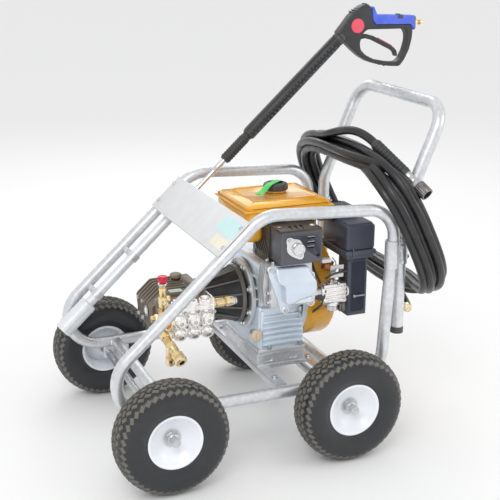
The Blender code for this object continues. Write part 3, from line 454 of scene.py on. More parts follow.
def ribbedRubber():
    """Hose cover with the fine cloth print of its wrapping along and across."""
    made, tree, shader = newFinish("hose_rubber", (0.017, 0.017, 0.019), 0.32, Coat_Weight=0.15,
                                   Coat_Roughness=0.2)
    wrap = speckle(tree, 260, 2)
    rub = between(tree, speckle(tree, 22, 7), 0, 0.6, 0.48, 0.72)
    tree.links.new(blended(tree, rub, (0.014, 0.014, 0.016), (0.048, 0.046, 0.042)), shader.inputs["Base Color"])
    tree.links.new(between(tree, speckle(tree, 30), 0.24, 0.42), shader.inputs["Roughness"])
    roughen(tree, shader, wrap, 0.18)
    return made


zinc = galvanisedZinc()
zincPlate = layered("zinc_plate", ((0.66, 0.67, 0.68), (0.52, 0.53, 0.55)), (0.24, 0.40), 0.95, grain=90, bump=0.10)
darkZinc = layered("dark_plate", ((0.30, 0.28, 0.27), (0.17, 0.16, 0.16)), (0.28, 0.42), 0.9, grain=90)
stainless = layered("stainless", ((0.80, 0.80, 0.81), (0.66, 0.66, 0.67)), (0.14, 0.26), 1.0, grain=140, bump=0.05)
rimPaint = layered("rim_paint", ((0.90, 0.93, 0.97), (0.84, 0.87, 0.92)), (0.22, 0.36), 0.0, grain=12, bump=0.05,
                   dust=((0.62, 0.64, 0.66), 0.30), Coat_Weight=0.3)
panelPaint = layered("panel_paint", ((0.78, 0.79, 0.80), (0.73, 0.74, 0.75)), (0.34, 0.46), 0.25, grain=30, bump=0.05)
castGrey = castMetal("cast_grey", ((0.60, 0.61, 0.62), (0.40, 0.41, 0.42)))
castBlue = castMetal("cast_blue_grey", ((0.66, 0.73, 0.82), (0.47, 0.53, 0.62)), (0.30, 0.48), 0.7)
coverBlue = layered("cover_blue_grey", ((0.66, 0.75, 0.86), (0.56, 0.65, 0.77)), (0.26, 0.42), 0.55, grain=26,
                    bump=0.12, worn=(0.85, 0.88, 0.92))
guardBlack = layered("guard_black", ((0.020, 0.024, 0.040), (0.034, 0.036, 0.050)), (0.34, 0.48), 0.2, grain=40,
                     bump=0.16, worn=(0.12, 0.12, 0.14))
guardBrown = layered("guard_brown", ((0.105, 0.085, 0.062), (0.055, 0.045, 0.035)), (0.38, 0.55), 0.4, grain=22, bump=0.2)
orange = layered("engine_orange", ((0.90, 0.46, 0.030), (0.82, 0.39, 0.022)), (0.16, 0.28), 0.0, grain=10, bump=0.04,
                 Coat_Weight=0.5, Coat_Roughness=0.12)
blackPlastic = layered("black_plastic", ((0.016, 0.017, 0.020), (0.026, 0.027, 0.030)), (0.38, 0.55), 0.0, grain=50,
                       bump=0.22, worn=(0.07, 0.07, 0.07))
boxPlastic = layered("box_plastic", ((0.012, 0.018, 0.040), (0.022, 0.026, 0.044)), (0.36, 0.52), 0.0, grain=40,
                     bump=0.2, worn=(0.08, 0.09, 0.12))
bellPaint = layered("bell_paint", ((0.035, 0.034, 0.036), (0.020, 0.020, 0.023)), (0.34, 0.5), 0.3, grain=36,
                    bump=0.2, worn=(0.2, 0.19, 0.18))
pumpBrown = layered("pump_brown", ((0.085, 0.062, 0.043), (0.045, 0.035, 0.028)), (0.26, 0.44), 0.45, grain=26,
                    bump=0.2, worn=(0.30, 0.25, 0.20))
nickel = castMetal("nickel", ((0.78, 0.76, 0.74), (0.60, 0.58, 0.57)), (0.20, 0.36), 0.95)
brass = layered("brass", ((0.80, 0.58, 0.24), (0.62, 0.40, 0.15)), (0.18, 0.34), 1.0, grain=70, bump=0.10,
                worn=(0.95, 0.80, 0.50))
redKnob = layered("red_knob", ((0.72, 0.015, 0.06), (0.60, 0.01, 0.05)), (0.24, 0.36), grain=60, bump=0.1)
pinkButton = layered("pink_button", ((0.90, 0.11, 0.16), (0.80, 0.08, 0.13)), (0.28, 0.40), grain=80, bump=0.12)
blueShell = layered("blue_shell", ((0.10, 0.17, 0.78), (0.07, 0.12, 0.66)), (0.30, 0.44), grain=60, bump=0.22)
creamCap = layered("cream_cap", ((0.82, 0.66, 0.44), (0.72, 0.55, 0.34)), (0.34, 0.48), grain=60, bump=0.14)
greenTag = layered("green_tag", ((0.05, 0.66, 0.10), (0.03, 0.52, 0.07)), (0.30, 0.45), grain=70, bump=0.1)
cupPaint = layered("cup_paint", ((0.84, 0.87, 0.90), (0.74, 0.77, 0.80)), (0.24, 0.38), 0.35, grain=30, bump=0.08)
sidewall = sidewallRubber()
tread = treadRubber()
hoseCover = ribbedRubber()
print("finishes made")


# ---- camera, floor and light


def setTheView():
    view = {"eye": at(-0.8744, -2.3335, 1.2138), "target": at(0.0883, 0, 0.4458), "lens": 76.9, "roll": 0.2}
    deselect()
    bpy.ops.object.camera_add(location=view["eye"])
    camera = bpy.context.object
    camera.name = "studio_camera"
    camera.data.lens = view["lens"]
    look = (view["target"] - view["eye"]).to_track_quat("-Z", "Y").to_matrix().to_4x4()
    roll = Matrix.Rotation(math.radians(view["roll"]), 4, "Z")
    camera.matrix_world = Matrix.Translation(view["eye"]) @ look @ roll
    bpy.context.scene.camera = camera


def setTheStudio():
    studio = {"floorSize": 60, "sky": (1.0, 1.0, 1.0), "skyPower": 0.88}
    bpy.ops.mesh.primitive_plane_add(size=studio["floorSize"], location=(0, 0, -0.0005))
    floor = bpy.context.object
    floor.name = "studio_floor"
    paper, tree, shader = newFinish("studio_paper", (0.93, 0.93, 0.93), 0.75)
    tree.links.new(between(tree, speckle(tree, 2), 0.7, 0.8), shader.inputs["Roughness"])
    floor.data.materials.append(paper)
    world = bpy.data.worlds.new("studio")
    world.use_nodes = True
    tree = world.node_tree
    background = tree.nodes["Background"]
    height = node(tree, "ShaderNodeSeparateXYZ", {"Vector": node(tree, "ShaderNodeTexCoord").outputs["Generated"]})
    share = between(tree, height.outputs["Z"], 0, 1, -0.2, 0.55)
    tree.links.new(blended(tree, share, (0.90, 0.91, 0.93), studio["sky"]), background.inputs["Color"])
    background.inputs["Strength"].default_value = studio["skyPower"]
    bpy.context.scene.world = world
    lamps = [("key", (-1.6, -2.4, 2.8), 34, 1.6), ("fill", (2.6, -1.8, 1.6), 12, 1.4), ("rim", (0.6, 2.6, 2.4), 16, 1.6)]
    for name, place, power, size in lamps:
        bpy.ops.object.light_add(type="AREA", location=place)
        lamp = bpy.context.object
        lamp.name = name + "_lamp"
        lamp.data.energy = power
        lamp.data.size = size
        lamp.rotation_euler = (Vector((0, 0, 0.4)) - Vector(place)).to_track_quat("-Z", "Y").to_euler()
    bpy.context.scene.view_settings.view_transform = "Standard"


# ---- hose, hung over the handle in six turns

hose = {
    "diameter": 0.021, "centre": (0.411, 0.511), "halfWidth": 0.265, "halfHeight": 0.195,
    "lean": math.radians(26), "squareness": 3.0, "pack": 0.0208, "spread": 0.0235,
    "tail": ((0.470, -0.125, 0.285), (0.432, -0.175, 0.312)),
    "coupling": ((0.360, -0.120, 0.716), (0.422, -0.268, 0.617)),
    "stepsPerTurn": 84, "from": 0.80, "turns": 5.42,
}


def ringPoint(turn, outward, aside):
    """The leaning, rounded-off ring that the bundle follows, and a place across the bundle."""
    cosine, sine = math.cos(turn), math.sin(turn)
    power = 2 / hose["squareness"]
    y = math.copysign(abs(cosine) ** power, cosine)
    rise = math.copysign(abs(sine) ** power, sine)
    length = math.hypot(y, rise)
    y = y * hose["halfWidth"] + y / length * outward
    rise = rise * hose["halfHeight"] + rise / length * outward
    x = hose["centre"][0] - rise * math.sin(hose["lean"]) + aside * math.cos(hose["lean"])
    z = hose["centre"][1] + rise * math.cos(hose["lean"]) + aside * math.sin(hose["lean"])
    return at(x, y, z)


def smoothShare(value):
    value = min(1, max(0, value))
    return value * value * (3 - 2 * value)


def seatOf(rank, turn):
    """Where one turn sits in the bundle: packed round, but fanned out flat on the near side."""
    packed = [(-1, 0), (-0.5, 0.87), (-0.5, -0.87), (0.5, 0.87), (0.5, -0.87), (1, 0)]
    flat = [(0.1, -1.2), (0.45, -0.6), (0.0, 0.1), (0.5, 0.7), (0.05, 1.3), (0.4, 1.8)]
    low = min(int(rank), 4)
    share = rank - low
    fan = smoothShare(-math.cos(turn) * 1.15 - 0.05)
    seat = []
    for axis in (0, 1):
        tight = packed[low][axis] * (1 - share) + packed[low + 1][axis] * share
        wide = flat[low][axis] * (1 - share) + flat[low + 1][axis] * share
        seat.append(tight * hose["pack"] * (1 - fan) + wide * hose["spread"] * fan)
    return seat


def bridgeRoute(start, leaving, end, arriving, steps=26):
    """A cubic line that leaves and arrives in given directions."""
    reach = (end - start).length * 0.42
    a, b = start + leaving.normalized() * reach, end - arriving.normalized() * reach
    made = []
    for step in range(1, steps):
        t = step / steps
        made.append(start * (1 - t) ** 3 + a * 3 * t * (1 - t) ** 2 + b * 3 * t * t * (1 - t) + end * t ** 3)
    return made


def hangTheHose():
    wound = []
    steps = int(hose["turns"] * hose["stepsPerTurn"])
    for step in range(steps + 1):
        turn = 2 * math.pi * (hose["from"] + step / hose["stepsPerTurn"])
        lap = turn / (2 * math.pi) - 0.75
        rank = min(5, max(0, math.floor(lap) + smoothShare(lap % 1 / 0.25) - 1))
        wound.append(ringPoint(turn, *seatOf(rank, turn)))
    tailStart, tailTip = (at(*p) for p in hose["tail"])
    sleeveStart, couplingTip = (at(*p) for p in hose["coupling"])
    into = bridgeRoute(tailStart, tailStart - tailTip, wound[0], wound[1] - wound[0])
    out = bridgeRoute(wound[-1], wound[-1] - wound[-2], sleeveStart, couplingTip - sleeveStart)
    route = [tailStart, *into, *wound, *out, sleeveStart + (couplingTip - sleeveStart) * 0.08]
    length = sum((b - a).length for a, b in zip(route, route[1:]))
    print(f"hose is {length:.2f} m")
    piece = handedOver(line(route, hose["diameter"] / 2, roundness=6), "high_pressure_hose", "trolley", hoseCover,
                       ("hose_coil",))
    return piece, route, length


def ribbedSleeve(length, radius, ribs, rib=0.0006):
    profile = [(radius * 0.82, 0), (radius, 0.004)]
    for index in range(ribs):
        start = 0.006 + (length - 0.012) * index / ribs
        width = (length - 0.012) / ribs
        profile += [(radius, start), (radius + rib, start + width * 0.2), (radius + rib, start + width * 0.6),
                    (radius, start + width * 0.8)]
    return profile + [(radius, length - 0.003), (radius * 0.86, length)]


def knurled(radius, length, teeth, depth):
    """A ring whose rim is fluted for the fingers, along its axis."""
    deselect()
    bpy.ops.mesh.primitive_circle_add(vertices=teeth * 2, radius=radius, fill_type="NGON")
    obj = bpy.context.object
    for index, vertex in enumerate(obj.data.vertices):
        if index % 2:
            vertex.co *= 1 - depth / radius
    bpy.ops.object.mode_set(mode="EDIT")
    bpy.ops.mesh.extrude_region_move(TRANSFORM_OT_translate={"value": (0, 0, length)})
    outwards()
    bpy.ops.object.mode_set(mode="OBJECT")
    return bevelled(obj, depth * 0.35, 1, 50)


def fitTheHoseEnds():
    start, tip = (at(*p) for p in hose["coupling"])
    along = (tip - start).normalized()
    length = (tip - start).length
    sleeve = turned(ribbedSleeve(length * 0.62, 0.0135, 11), start, along, 32)
    sleevePiece = handedOver(sleeve, "hose_bend_sleeve", "trolley", blackPlastic, ("hose_coupling",))
    ferrule = turned([(0.0108, 0.61), (0.0114, 0.63), (0.0114, 0.66), (0.0106, 0.67), (0.0106, 0.69), (0.0114, 0.70),
                      (0.0114, 0.76), (0.0100, 0.78), (0.0100, 0.83)], steps=28)
    ferrule.data.transform(Matrix.Diagonal((1, 1, length, 1)))
    placed(ferrule, start, along)
    hexagon = turned([(0.0128, length * 0.76), (0.0138, length * 0.77), (0.0138, length * 0.81),
                      (0.0128, length * 0.82)], start, along, 6)
    ferrulePiece = handedOver(joined(ferrule, hexagon), "hose_ferrule", "trolley", zincPlate)
    ring = knurled(0.0163, length * 0.17, 20, 0.0011)
    mouth = turned([(0.0122, length * 0.03), (0.0122, length * 0.30)], steps=24)
    cutBy(ring, mouth)
    face = turned([(0.0121, -0.001), (0.0121, 0.004), (0.0085, 0.005), (0.0060, 0.0052), (0.0060, 0.0115),
                   (0.0036, 0.0120), (0.0036, 0.0070), (0.0010, 0.0068)], (0, 0, length * 0.02), steps=24)
    swivel = placed(joined(ring, face), start + along * length * 0.83, along)
    swivelPiece = handedOver(swivel, "hose_swivel_nut", "trolley", darkZinc)
    start, tip = (at(*p) for p in hose["tail"])
    along = (tip - start).normalized()
    length = (tip - start).length
    barb = turned([(0.0112, 0), (0.0116, 0.002), (0.0116, 0.018), (0.0108, 0.020), (0.0108, 0.026), (0.0116, 0.028),
                   (0.0116, length * 0.62), (0.0080, length * 0.64), (0.0080, length - 0.001),
                   (0.0072, length)], start, along, 28)
    nut = bevelled(turned([(0.0120, length * 0.66), (0.0120, length * 0.86)], start, along, 6), 0.0008, 2, 20)
    tail = handedOver(joined(barb, nut), "hose_tail_barb", "trolley", brass, ("hose_tail_fitting",))
    return [sleevePiece, ferrulePiece, swivelPiece, tail]


# ---- tube frame

frameTube = {
    "hoopRadius": 0.0145, "hoopY": 0.233, "railZ": 0.164, "topZ": 0.599, "topFall": 0.0485,
    "diagonal": math.radians(42.7), "diagonalAt": (-0.300, 0.300), "footX": 0.3345, "lean": 0.066,
    "bends": (0.080, 0.090, 0.070, 0.070), "crossRadius": 0.0135, "crossShift": (0.020, 0.034),
    "handleRadius": 0.015, "handleY": 0.209, "handleFoot": (0.391, 0.266), "handleBendZ": 0.560,
    "handleTop": (0.496, 0.811), "lowBend": 0.100, "topBend": 0.062,
}


def hoopCorners(y):
    slope = math.tan(frameTube["diagonal"])
    base = frameTube["diagonalAt"][1] - slope * frameTube["diagonalAt"][0]
    fall, lean, rail, foot = (frameTube[k] for k in ("topFall", "lean", "railZ", "footX"))
    topX = (frameTube["topZ"] - base) / (slope + fall)
    rearZ = (frameTube["topZ"] - fall * (foot - lean * rail)) / (1 + fall * lean)
    corners = [((rail - base) / slope, rail), (topX, frameTube["topZ"] - fall * topX),
               (foot + lean * (rearZ - rail), rearZ), (foot, rail)]
    return [(at(x, y, z), bend) for (x, z), bend in zip(corners, frameTube["bends"])]


def weldBead(place, axis, radius, thick=0.0024):
    """A bead of weld round a tube's end, with the ripple of its stitches."""
    deselect()
    bpy.ops.mesh.primitive_torus_add(major_radius=radius, minor_radius=thick, major_segments=60, minor_segments=8)
    obj = bpy.context.object
    for vertex in obj.data.vertices:
        angle = math.atan2(vertex.co.y, vertex.co.x)
        vertex.co.z += 0.0007 * math.sin(angle * 23)
        vertex.co.xy *= 1 + 0.012 * math.sin(angle * 30 + 1) + 0.010 * math.sin(angle * 5)
    return placed(obj, place, axis)


def buildTheFrame():
    for side, sign in sides.items():
        route = bentRoute(hoopCorners(sign * frameTube["hoopY"]), True)
        handedOver(tube(route, frameTube["hoopRadius"], True), f"{side}_hoop_tube", "trolley", zinc,
                   (f"{side}_side_hoop",))
    beads = []
    inner = frameTube["hoopY"] - frameTube["hoopRadius"] + 0.002
    for end, sign, shift in (("front", -1, frameTube["crossShift"][0]), ("rear", 1, frameTube["crossShift"][1])):
        x = sign * axleSpread + shift
        low, high = at(x, -inner, frameTube["railZ"]), at(x, inner, frameTube["railZ"])
        handedOver(tube([low, low.lerp(high, 0.5), high], frameTube["crossRadius"]), f"{end}_cross_bar", "trolley", zinc,
                   (f"{end}_cross_tube",))
        beads += [weldBead(low, sideways, frameTube["crossRadius"] + 0.001),
                  weldBead(high, sideways, frameTube["crossRadius"] + 0.001)]
        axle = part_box(f"{end}_axle")
        reach = axle[1].y - 0.0002
        shaft = turned([(0.0080, -reach), (0.0094, -reach + 0.0015), (0.0094, reach - 0.0015), (0.0080, reach)],
                       at(sign * axleSpread, 0, (axle[0].z + axle[1].z) / 2), sideways, 32)
        handedOver(shaft, f"{end}_axle_bar", "trolley", zincPlate, (f"{end}_axle",))
        for s in sides.values():
            y = s * frameTube["hoopY"]
            lug = block(at(sign * axleSpread - 0.014, y - 0.004, 0.118), at(sign * axleSpread + 0.014, y + 0.004, 0.156), 0.003)
            handedOver(lug, f"{end}_axle_lug_{'far' if s > 0 else 'near'}", "trolley", zinc)
    handedOver(joined(*beads), "frame_welds", "trolley", zinc)


def bendTheHandle():
    y = frameTube["handleY"]
    footX, footZ = frameTube["handleFoot"]
    topX, topZ = frameTube["handleTop"]
    half = [((footX, footZ), 0), ((footX, frameTube["handleBendZ"]), frameTube["lowBend"]),
            ((topX, topZ), frameTube["topBend"])]
    corners = [(at(x, -y, z), bend) for (x, z), bend in half] + [(at(x, y, z), bend) for (x, z), bend in half[::-1]]
    handedOver(tube(bentRoute(corners, False), frameTube["handleRadius"]), "push_handle_tube", "trolley", zinc,
               ("handle",))
    for side, sign in sides.items():
        plug = turned([(0.0135, -0.004), (0.0158, -0.0038), (0.0158, 0.010), (0.0152, 0.012)],
                      at(footX, sign * y, footZ), up, 28)
        handedOver(plug, f"{side}_handle_end_cap", "trolley", blackPlastic)


def clampTheHandle():
    """Two half shells round both tubes, with weld-on plates, a bolt and its nut."""
    clamp = {"low": 0.440, "high": 0.505, "wall": 0.0032, "boltX": 0.372}
    for side, sign in sides.items():
        zMiddle = (clamp["low"] + clamp["high"]) / 2
        upright = frameTube["footX"] + frameTube["lean"] * (zMiddle - frameTube["railZ"])
        bits = []
        for x, y, radius in ((upright, frameTube["hoopY"], frameTube["hoopRadius"]),
                             (frameTube["handleFoot"][0], frameTube["handleY"], frameTube["handleRadius"])):
            inside, outside = radius + 0.0004, radius + clamp["wall"]
            bits.append(turned([(inside, clamp["low"]), (outside, clamp["low"]), (outside, clamp["high"]),
                                (inside, clamp["high"])], at(x, sign * y, 0), up, 36, hollow=True))
        y = (frameTube["hoopY"] + frameTube["handleY"]) / 2 * sign
        bits.append(block(at(upright + 0.010, y - 0.004, clamp["low"] + 0.004),
                          at(frameTube["handleFoot"][0] - 0.010, y + 0.010, clamp["high"] - 0.004), 0.0015))
        shells = handedOver(joined(*bits), f"{side}_clamp_shells", "trolley", zinc,
                            (f"{side}_handle_clamp",))
        places = []
        for z in (clamp["low"] + 0.014, clamp["high"] - 0.014):
            places.append((at(clamp["boltX"], sign * (frameTube["hoopY"] + 0.0145), z), (0, sign, 0)))
            places.append((at(frameTube["handleFoot"][0] + 0.018, sign * frameTube["handleY"], z), (1, 0, 0)))
        bolts = boltsAt(places, 0.0052, 0.0048)
        handedOver(bolts, f"{side}_clamp_bolts", "trolley", zincPlate)


# ---- wheels

wheel = {"radius": 0.1325, "halfWidth": 0.0425, "rimRadius": 0.0625, "rimHalf": 0.035, "rows": 6, "blocks": 44}


def tyreCarcass():
    r, w, rim = wheel["radius"], wheel["halfWidth"], wheel["rimRadius"]
    half = [(rim + 0.0006, 0.030), (rim + 0.0015, 0.0335), (rim + 0.0045, 0.0355), (rim + 0.0065, 0.0352),
            (rim + 0.0085, 0.0370), (rim + 0.018, 0.0408), (rim + 0.030, w - 0.0002), (rim + 0.042, w - 0.0006),
            (rim + 0.053, w - 0.0036), (rim + 0.060, w - 0.0085), (rim + 0.0645, w - 0.0140), (rim + 0.0665, w - 0.0225),
            (rim + 0.0676, 0.008)]
    inside = [(rim + 0.060, 0.020), (rim + 0.030, w - 0.006), (rim + 0.0006, 0.026)]
    profile = [(a, b) for a, b in half] + [(a, -b) for a, b in half[::-1]]
    profile += [(a, -b) for a, b in inside[::-1]] + inside
    return applied(turned(profile, steps=96, hollow=True), "SUBSURF", levels=1, render_levels=1)


def treadBlocks():
    """Rows of small turf lugs, each row slewed against the next, all round the crown."""
    rows = wheel["rows"]
    pitch = 2 * math.pi / wheel["blocks"]
    lugs = []
    for row in range(rows):
        across = (row - (rows - 1) / 2) / ((rows - 1) / 2)
        offset = across * (wheel["halfWidth"] - 0.0095)
        sink = 0.0014 + 0.0105 * abs(across) ** 3.2
        deselect()
        bpy.ops.mesh.primitive_cube_add(size=1, scale=(0.0145, 0.0088, 0.0058))
        lug = bpy.context.object
        bpy.ops.object.transform_apply(location=False, rotation=False, scale=True)
        lug = stepped(lug, (0, 0, 1), 0.0012, 0.0006)
        slew = Matrix.Rotation(math.radians(34 if row % 2 else -34), 4, "Z")
        tip = Matrix.Rotation(math.radians(-50 * across * abs(across) ** 1.6), 4, "X")
        lug.data.transform(tip @ slew)
        seat = Matrix.Translation((0, offset, wheel["radius"] - 0.0022 - sink))
        around = Matrix.Rotation(pitch * (0.5 if row % 2 else 0), 4, "Y")
        lug.data.transform(around @ seat)
        lugs.append(lug)
    obj = joined(*lugs)
    bpy.ops.object.mode_set(mode="EDIT")
    bpy.ops.mesh.select_all(action="SELECT")
    bpy.ops.mesh.spin(steps=wheel["blocks"] - 1, dupli=True, angle=2 * math.pi - pitch, center=(0, 0, 0), axis=(0, 1, 0))
    bpy.ops.mesh.select_all(action="SELECT")
    bpy.ops.mesh.normals_make_consistent(inside=False)
    bpy.ops.object.mode_set(mode="OBJECT")
    obj.data.transform(Matrix.Rotation(math.radians(90), 4, "X"))
    return obj


def dishedRim():
    """Pressed rim seen from outside: rolled lip, well, cone-shaped dish and hub tube."""
    rim, edge = wheel["rimRadius"], wheel["rimHalf"]
    profile = [(0.0137, -0.030), (0.0137, 0.0058), (0.0186, 0.0058), (0.0200, 0.0050), (0.0225, 0.0052), (0.0330, 0.0095),
               (0.0430, 0.0165), (0.0490, 0.0225), (0.0525, 0.0262), (0.0548, 0.0285), (0.0568, edge - 0.0030),
               (0.0592, edge - 0.0006), (0.0615, edge), (rim + 0.0012, edge - 0.0008), (rim + 0.0012, edge - 0.0030),
               (0.0600, edge - 0.0050), (0.0560, 0.0225), (0.0525, 0.0185), (0.0525, -0.0185), (0.0600, -edge + 0.005),
               (rim + 0.0012, -edge + 0.003), (0.0615, -edge), (0.0585, -edge + 0.001), (0.0500, -0.0195),
               (0.0500, 0.0150), (0.0430, 0.0110), (0.0330, 0.0045), (0.0225, 0.0020), (0.0178, 0.0010), (0.0178, -0.030)]
    return turned(profile, steps=72, hollow=True)


def hubBearing():
    cup = turned([(0.0103, -0.034), (0.0131, -0.034), (0.0131, 0.0058), (0.0198, 0.0060), (0.0206, 0.0068),
                  (0.0206, 0.0078), (0.0188, 0.0084), (0.0150, 0.0074), (0.0118, 0.0076), (0.0103, 0.0078)], steps=48, hollow=True)
    deselect()
    bpy.ops.mesh.primitive_uv_sphere_add(segments=12, ring_count=8, radius=0.0017, location=(0.0133, 0, 0.0078))
    ball = bpy.context.object
    bpy.ops.object.transform_apply(location=True)
    balls = [copied(ball, Matrix.Rotation(2 * math.pi * index / 11, 4, "Z")) for index in range(11)]
    bpy.data.objects.remove(ball)
    return joined(cup, *balls)


def lockNut():
    nut = bevelled(turned([(0.0150, 0.0008), (0.0150, 0.0094)], steps=6), 0.0010, 2, 20)
    collar = turned([(0.0128, 0.009), (0.0128, 0.0106), (0.0112, 0.0118)], steps=28)
    bore = turned([(0.0098, -0.01), (0.0098, 0.03)], steps=32)
    washer = turned([(0.0100, 0), (0.0172, 0), (0.0172, 0.0013), (0.0100, 0.0013)], steps=32, hollow=True)
    return joined(cutBy(joined(nut, collar), bore), washer)


def mountTheWheels():
    masters = {"tyre_carcass": (tyreCarcass(), sidewall, "tyre"), "tyre_tread": (treadBlocks(), tread, "tyre"),
               "rim_dish": (dishedRim(), rimPaint, "white_rim"), "bearing_cup": (hubBearing(), zincPlate, "bare_steel")}
    stands = {"tyre_carcass": "tyre", "rim_dish": "rim", "bearing_cup": "hub_bearing"}
    nut = lockNut()
    for end, sign in (("front", -1), ("rear", 1)):
        for side, out in sides.items():
            name = f"{side}_{end}"
            low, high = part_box(f"{name}_tyre")
            centre = (low + high) / 2
            lean = Matrix.Rotation(random.Random(name).uniform(0, 2), 4, "Z")
            placing = Matrix.Translation(centre) @ turnTo((0, out, 0)) @ lean
            for piece, (master, finish, slotName) in masters.items():
                stand = (f"{name}_{stands[piece]}",) if piece in stands else ()
                handedOver(copied(master, placing), f"{name}_{piece}", f"{name}_wheel", finish, stand)
            nutLow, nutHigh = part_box(f"{name}_axle_nut")
            face = nutLow.y if out > 0 else nutHigh.y
            seat = Matrix.Translation(Vector((centre.x, face, centre.z))) @ turnTo((0, out, 0))
            handedOver(copied(nut, seat), f"{name}_lock_nut", "trolley", zincPlate, (f"{name}_axle_nut",))
    for master, _, _ in masters.values():
        bpy.data.objects.remove(master)
    bpy.data.objects.remove(nut)

# engine: crankcase, head and covers

engine = {
    "left": 0.070, "right": 0.190, "front": -0.105, "back": 0.110, "base": 0.2124, "top": 0.440,
    "shaftZ": 0.340, "finFrom": -0.109, "finPitch": 0.0082, "fins": 5, "ribs": 6,
}


def castTheCrankcase():
    left, right, front, back = (engine[k] for k in ("left", "right", "front", "back"))
    sump = block(at(left, front + 0.003, engine["base"]), at(right, back, 0.330), 0.007, 3)
    upper = block(at(left + 0.004, front + 0.012, 0.318), at(right - 0.006, back - 0.003, engine["top"]), 0.014, 3)
    bits = [sump, upper]
    for index in range(engine["ribs"]):
        z = 0.2310 + index * 0.0142
        bits.append(block(at(left + 0.010, front - 0.0035, z), at(right - 0.004, front + 0.008, z + 0.0062), 0.0020, 2))
    for x in (left + 0.004, right - 0.012):
        bits.append(block(at(x, front - 0.001, engine["base"] + 0.002), at(x + 0.009, front + 0.008, 0.322), 0.0025, 2))
    for z in (0.345, 0.372, 0.399):
        bits.append(block(at(left - 0.0015, -0.088, z), at(left + 0.012, 0.092, z + 0.005), 0.0018, 2))
    for y in (-0.080, -0.040, 0.040, 0.080):
        bits.append(block(at(right - 0.012, y - 0.0025, 0.230), at(right + 0.0008, y + 0.0025, 0.420), 0.0012, 1))
    handedOver(joined(*bits), "engine_crankcase", "trolley", castBlue, ("crankcase",))
    foot = block(at(left - 0.003, front - 0.003, engine["base"] - 0.0002), at(right + 0.003, back + 0.002, 0.2215), 0.003, 2)
    boss = turned([(0.0165, 0), (0.0165, 0.010), (0.0150, 0.013)], at(0.060, front + 0.004, 0.264), -sideways, 36)
    handedOver(joined(foot, boss), "engine_feet", "trolley", castGrey)
    places = [(at(x, front - 0.0028, 0.2262), -sideways) for x in (0.097, 0.180)]
    places += [(at(x, y, 0.2215), up) for x in (left + 0.004, right - 0.004) for y in (front + 0.0065,)]
    handedOver(boltsAt(places, 0.0042, 0.0040), "engine_drain_bolts", "trolley", zincPlate)


def castTheHead():
    fins = []
    for index in range(engine["fins"]):
        y = engine["finFrom"] - index * engine["finPitch"]
        reach = 0.002 * math.sin(index * 1.4)
        outline = softened([(0.066 - reach, 0.346), (0.182, 0.346), (0.185, 0.400), (0.180, 0.4535), (0.070, 0.4535),
                            (0.062, 0.400)], 0.012, 3)
        fins.append(sheetFrom([(axleMiddle + x, z) for x, z in outline], y - 0.0016, y + 0.0016, 0.0007, 1))
    barrel = block(at(0.080, -0.150, 0.350), at(0.174, -0.098, 0.448), 0.008, 2)
    head = block(at(0.074, -0.1652, 0.348), at(0.180, -0.1502, 0.4545), 0.0035, 2)
    handedOver(joined(barrel, head, *fins), "cylinder_fins", "trolley", castGrey)
    studs = [(at(x, -0.1575, 0.4545), up) for x in (0.082, 0.172)]
    studs += [(at(0.074, -0.1575, z), -forwards) for z in (0.362, 0.385, 0.438)]
    bosses = [turned([(0.0075, -0.010), (0.0075, 0.0012), (0.0066, 0.0022)], place, way, 20) for place, way in studs]
    handedOver(joined(*bosses), "head_bosses", "trolley", castGrey)
    caps = boltsAt([(place + way * 0.0022, way) for place, way in studs], 0.0044, 0.0045)
    handedOver(caps, "head_bolts", "trolley", zincPlate)
    plug = turned([(0.0095, 0), (0.0095, 0.006), (0.0060, 0.007), (0.0060, 0.012), (0.0090, 0.014), (0.0098, 0.030),
                   (0.0078, 0.040), (0.0060, 0.046)], at(0.178, -0.140, 0.372), Vector((0.72, -0.32, -0.35)).normalized(), 28)
    handedOver(plug, "spark_plug_boot", "trolley", blackPlastic)
    lead = tube(smoothRoute([at(0.207, -0.153, 0.357), at(0.216, -0.156, 0.357), at(0.218, -0.142, 0.378),
                             at(0.205, -0.122, 0.420), at(0.203, -0.112, 0.445)]), 0.0030, roundness=5)
    handedOver(lead, "spark_plug_lead", "trolley", blackPlastic)


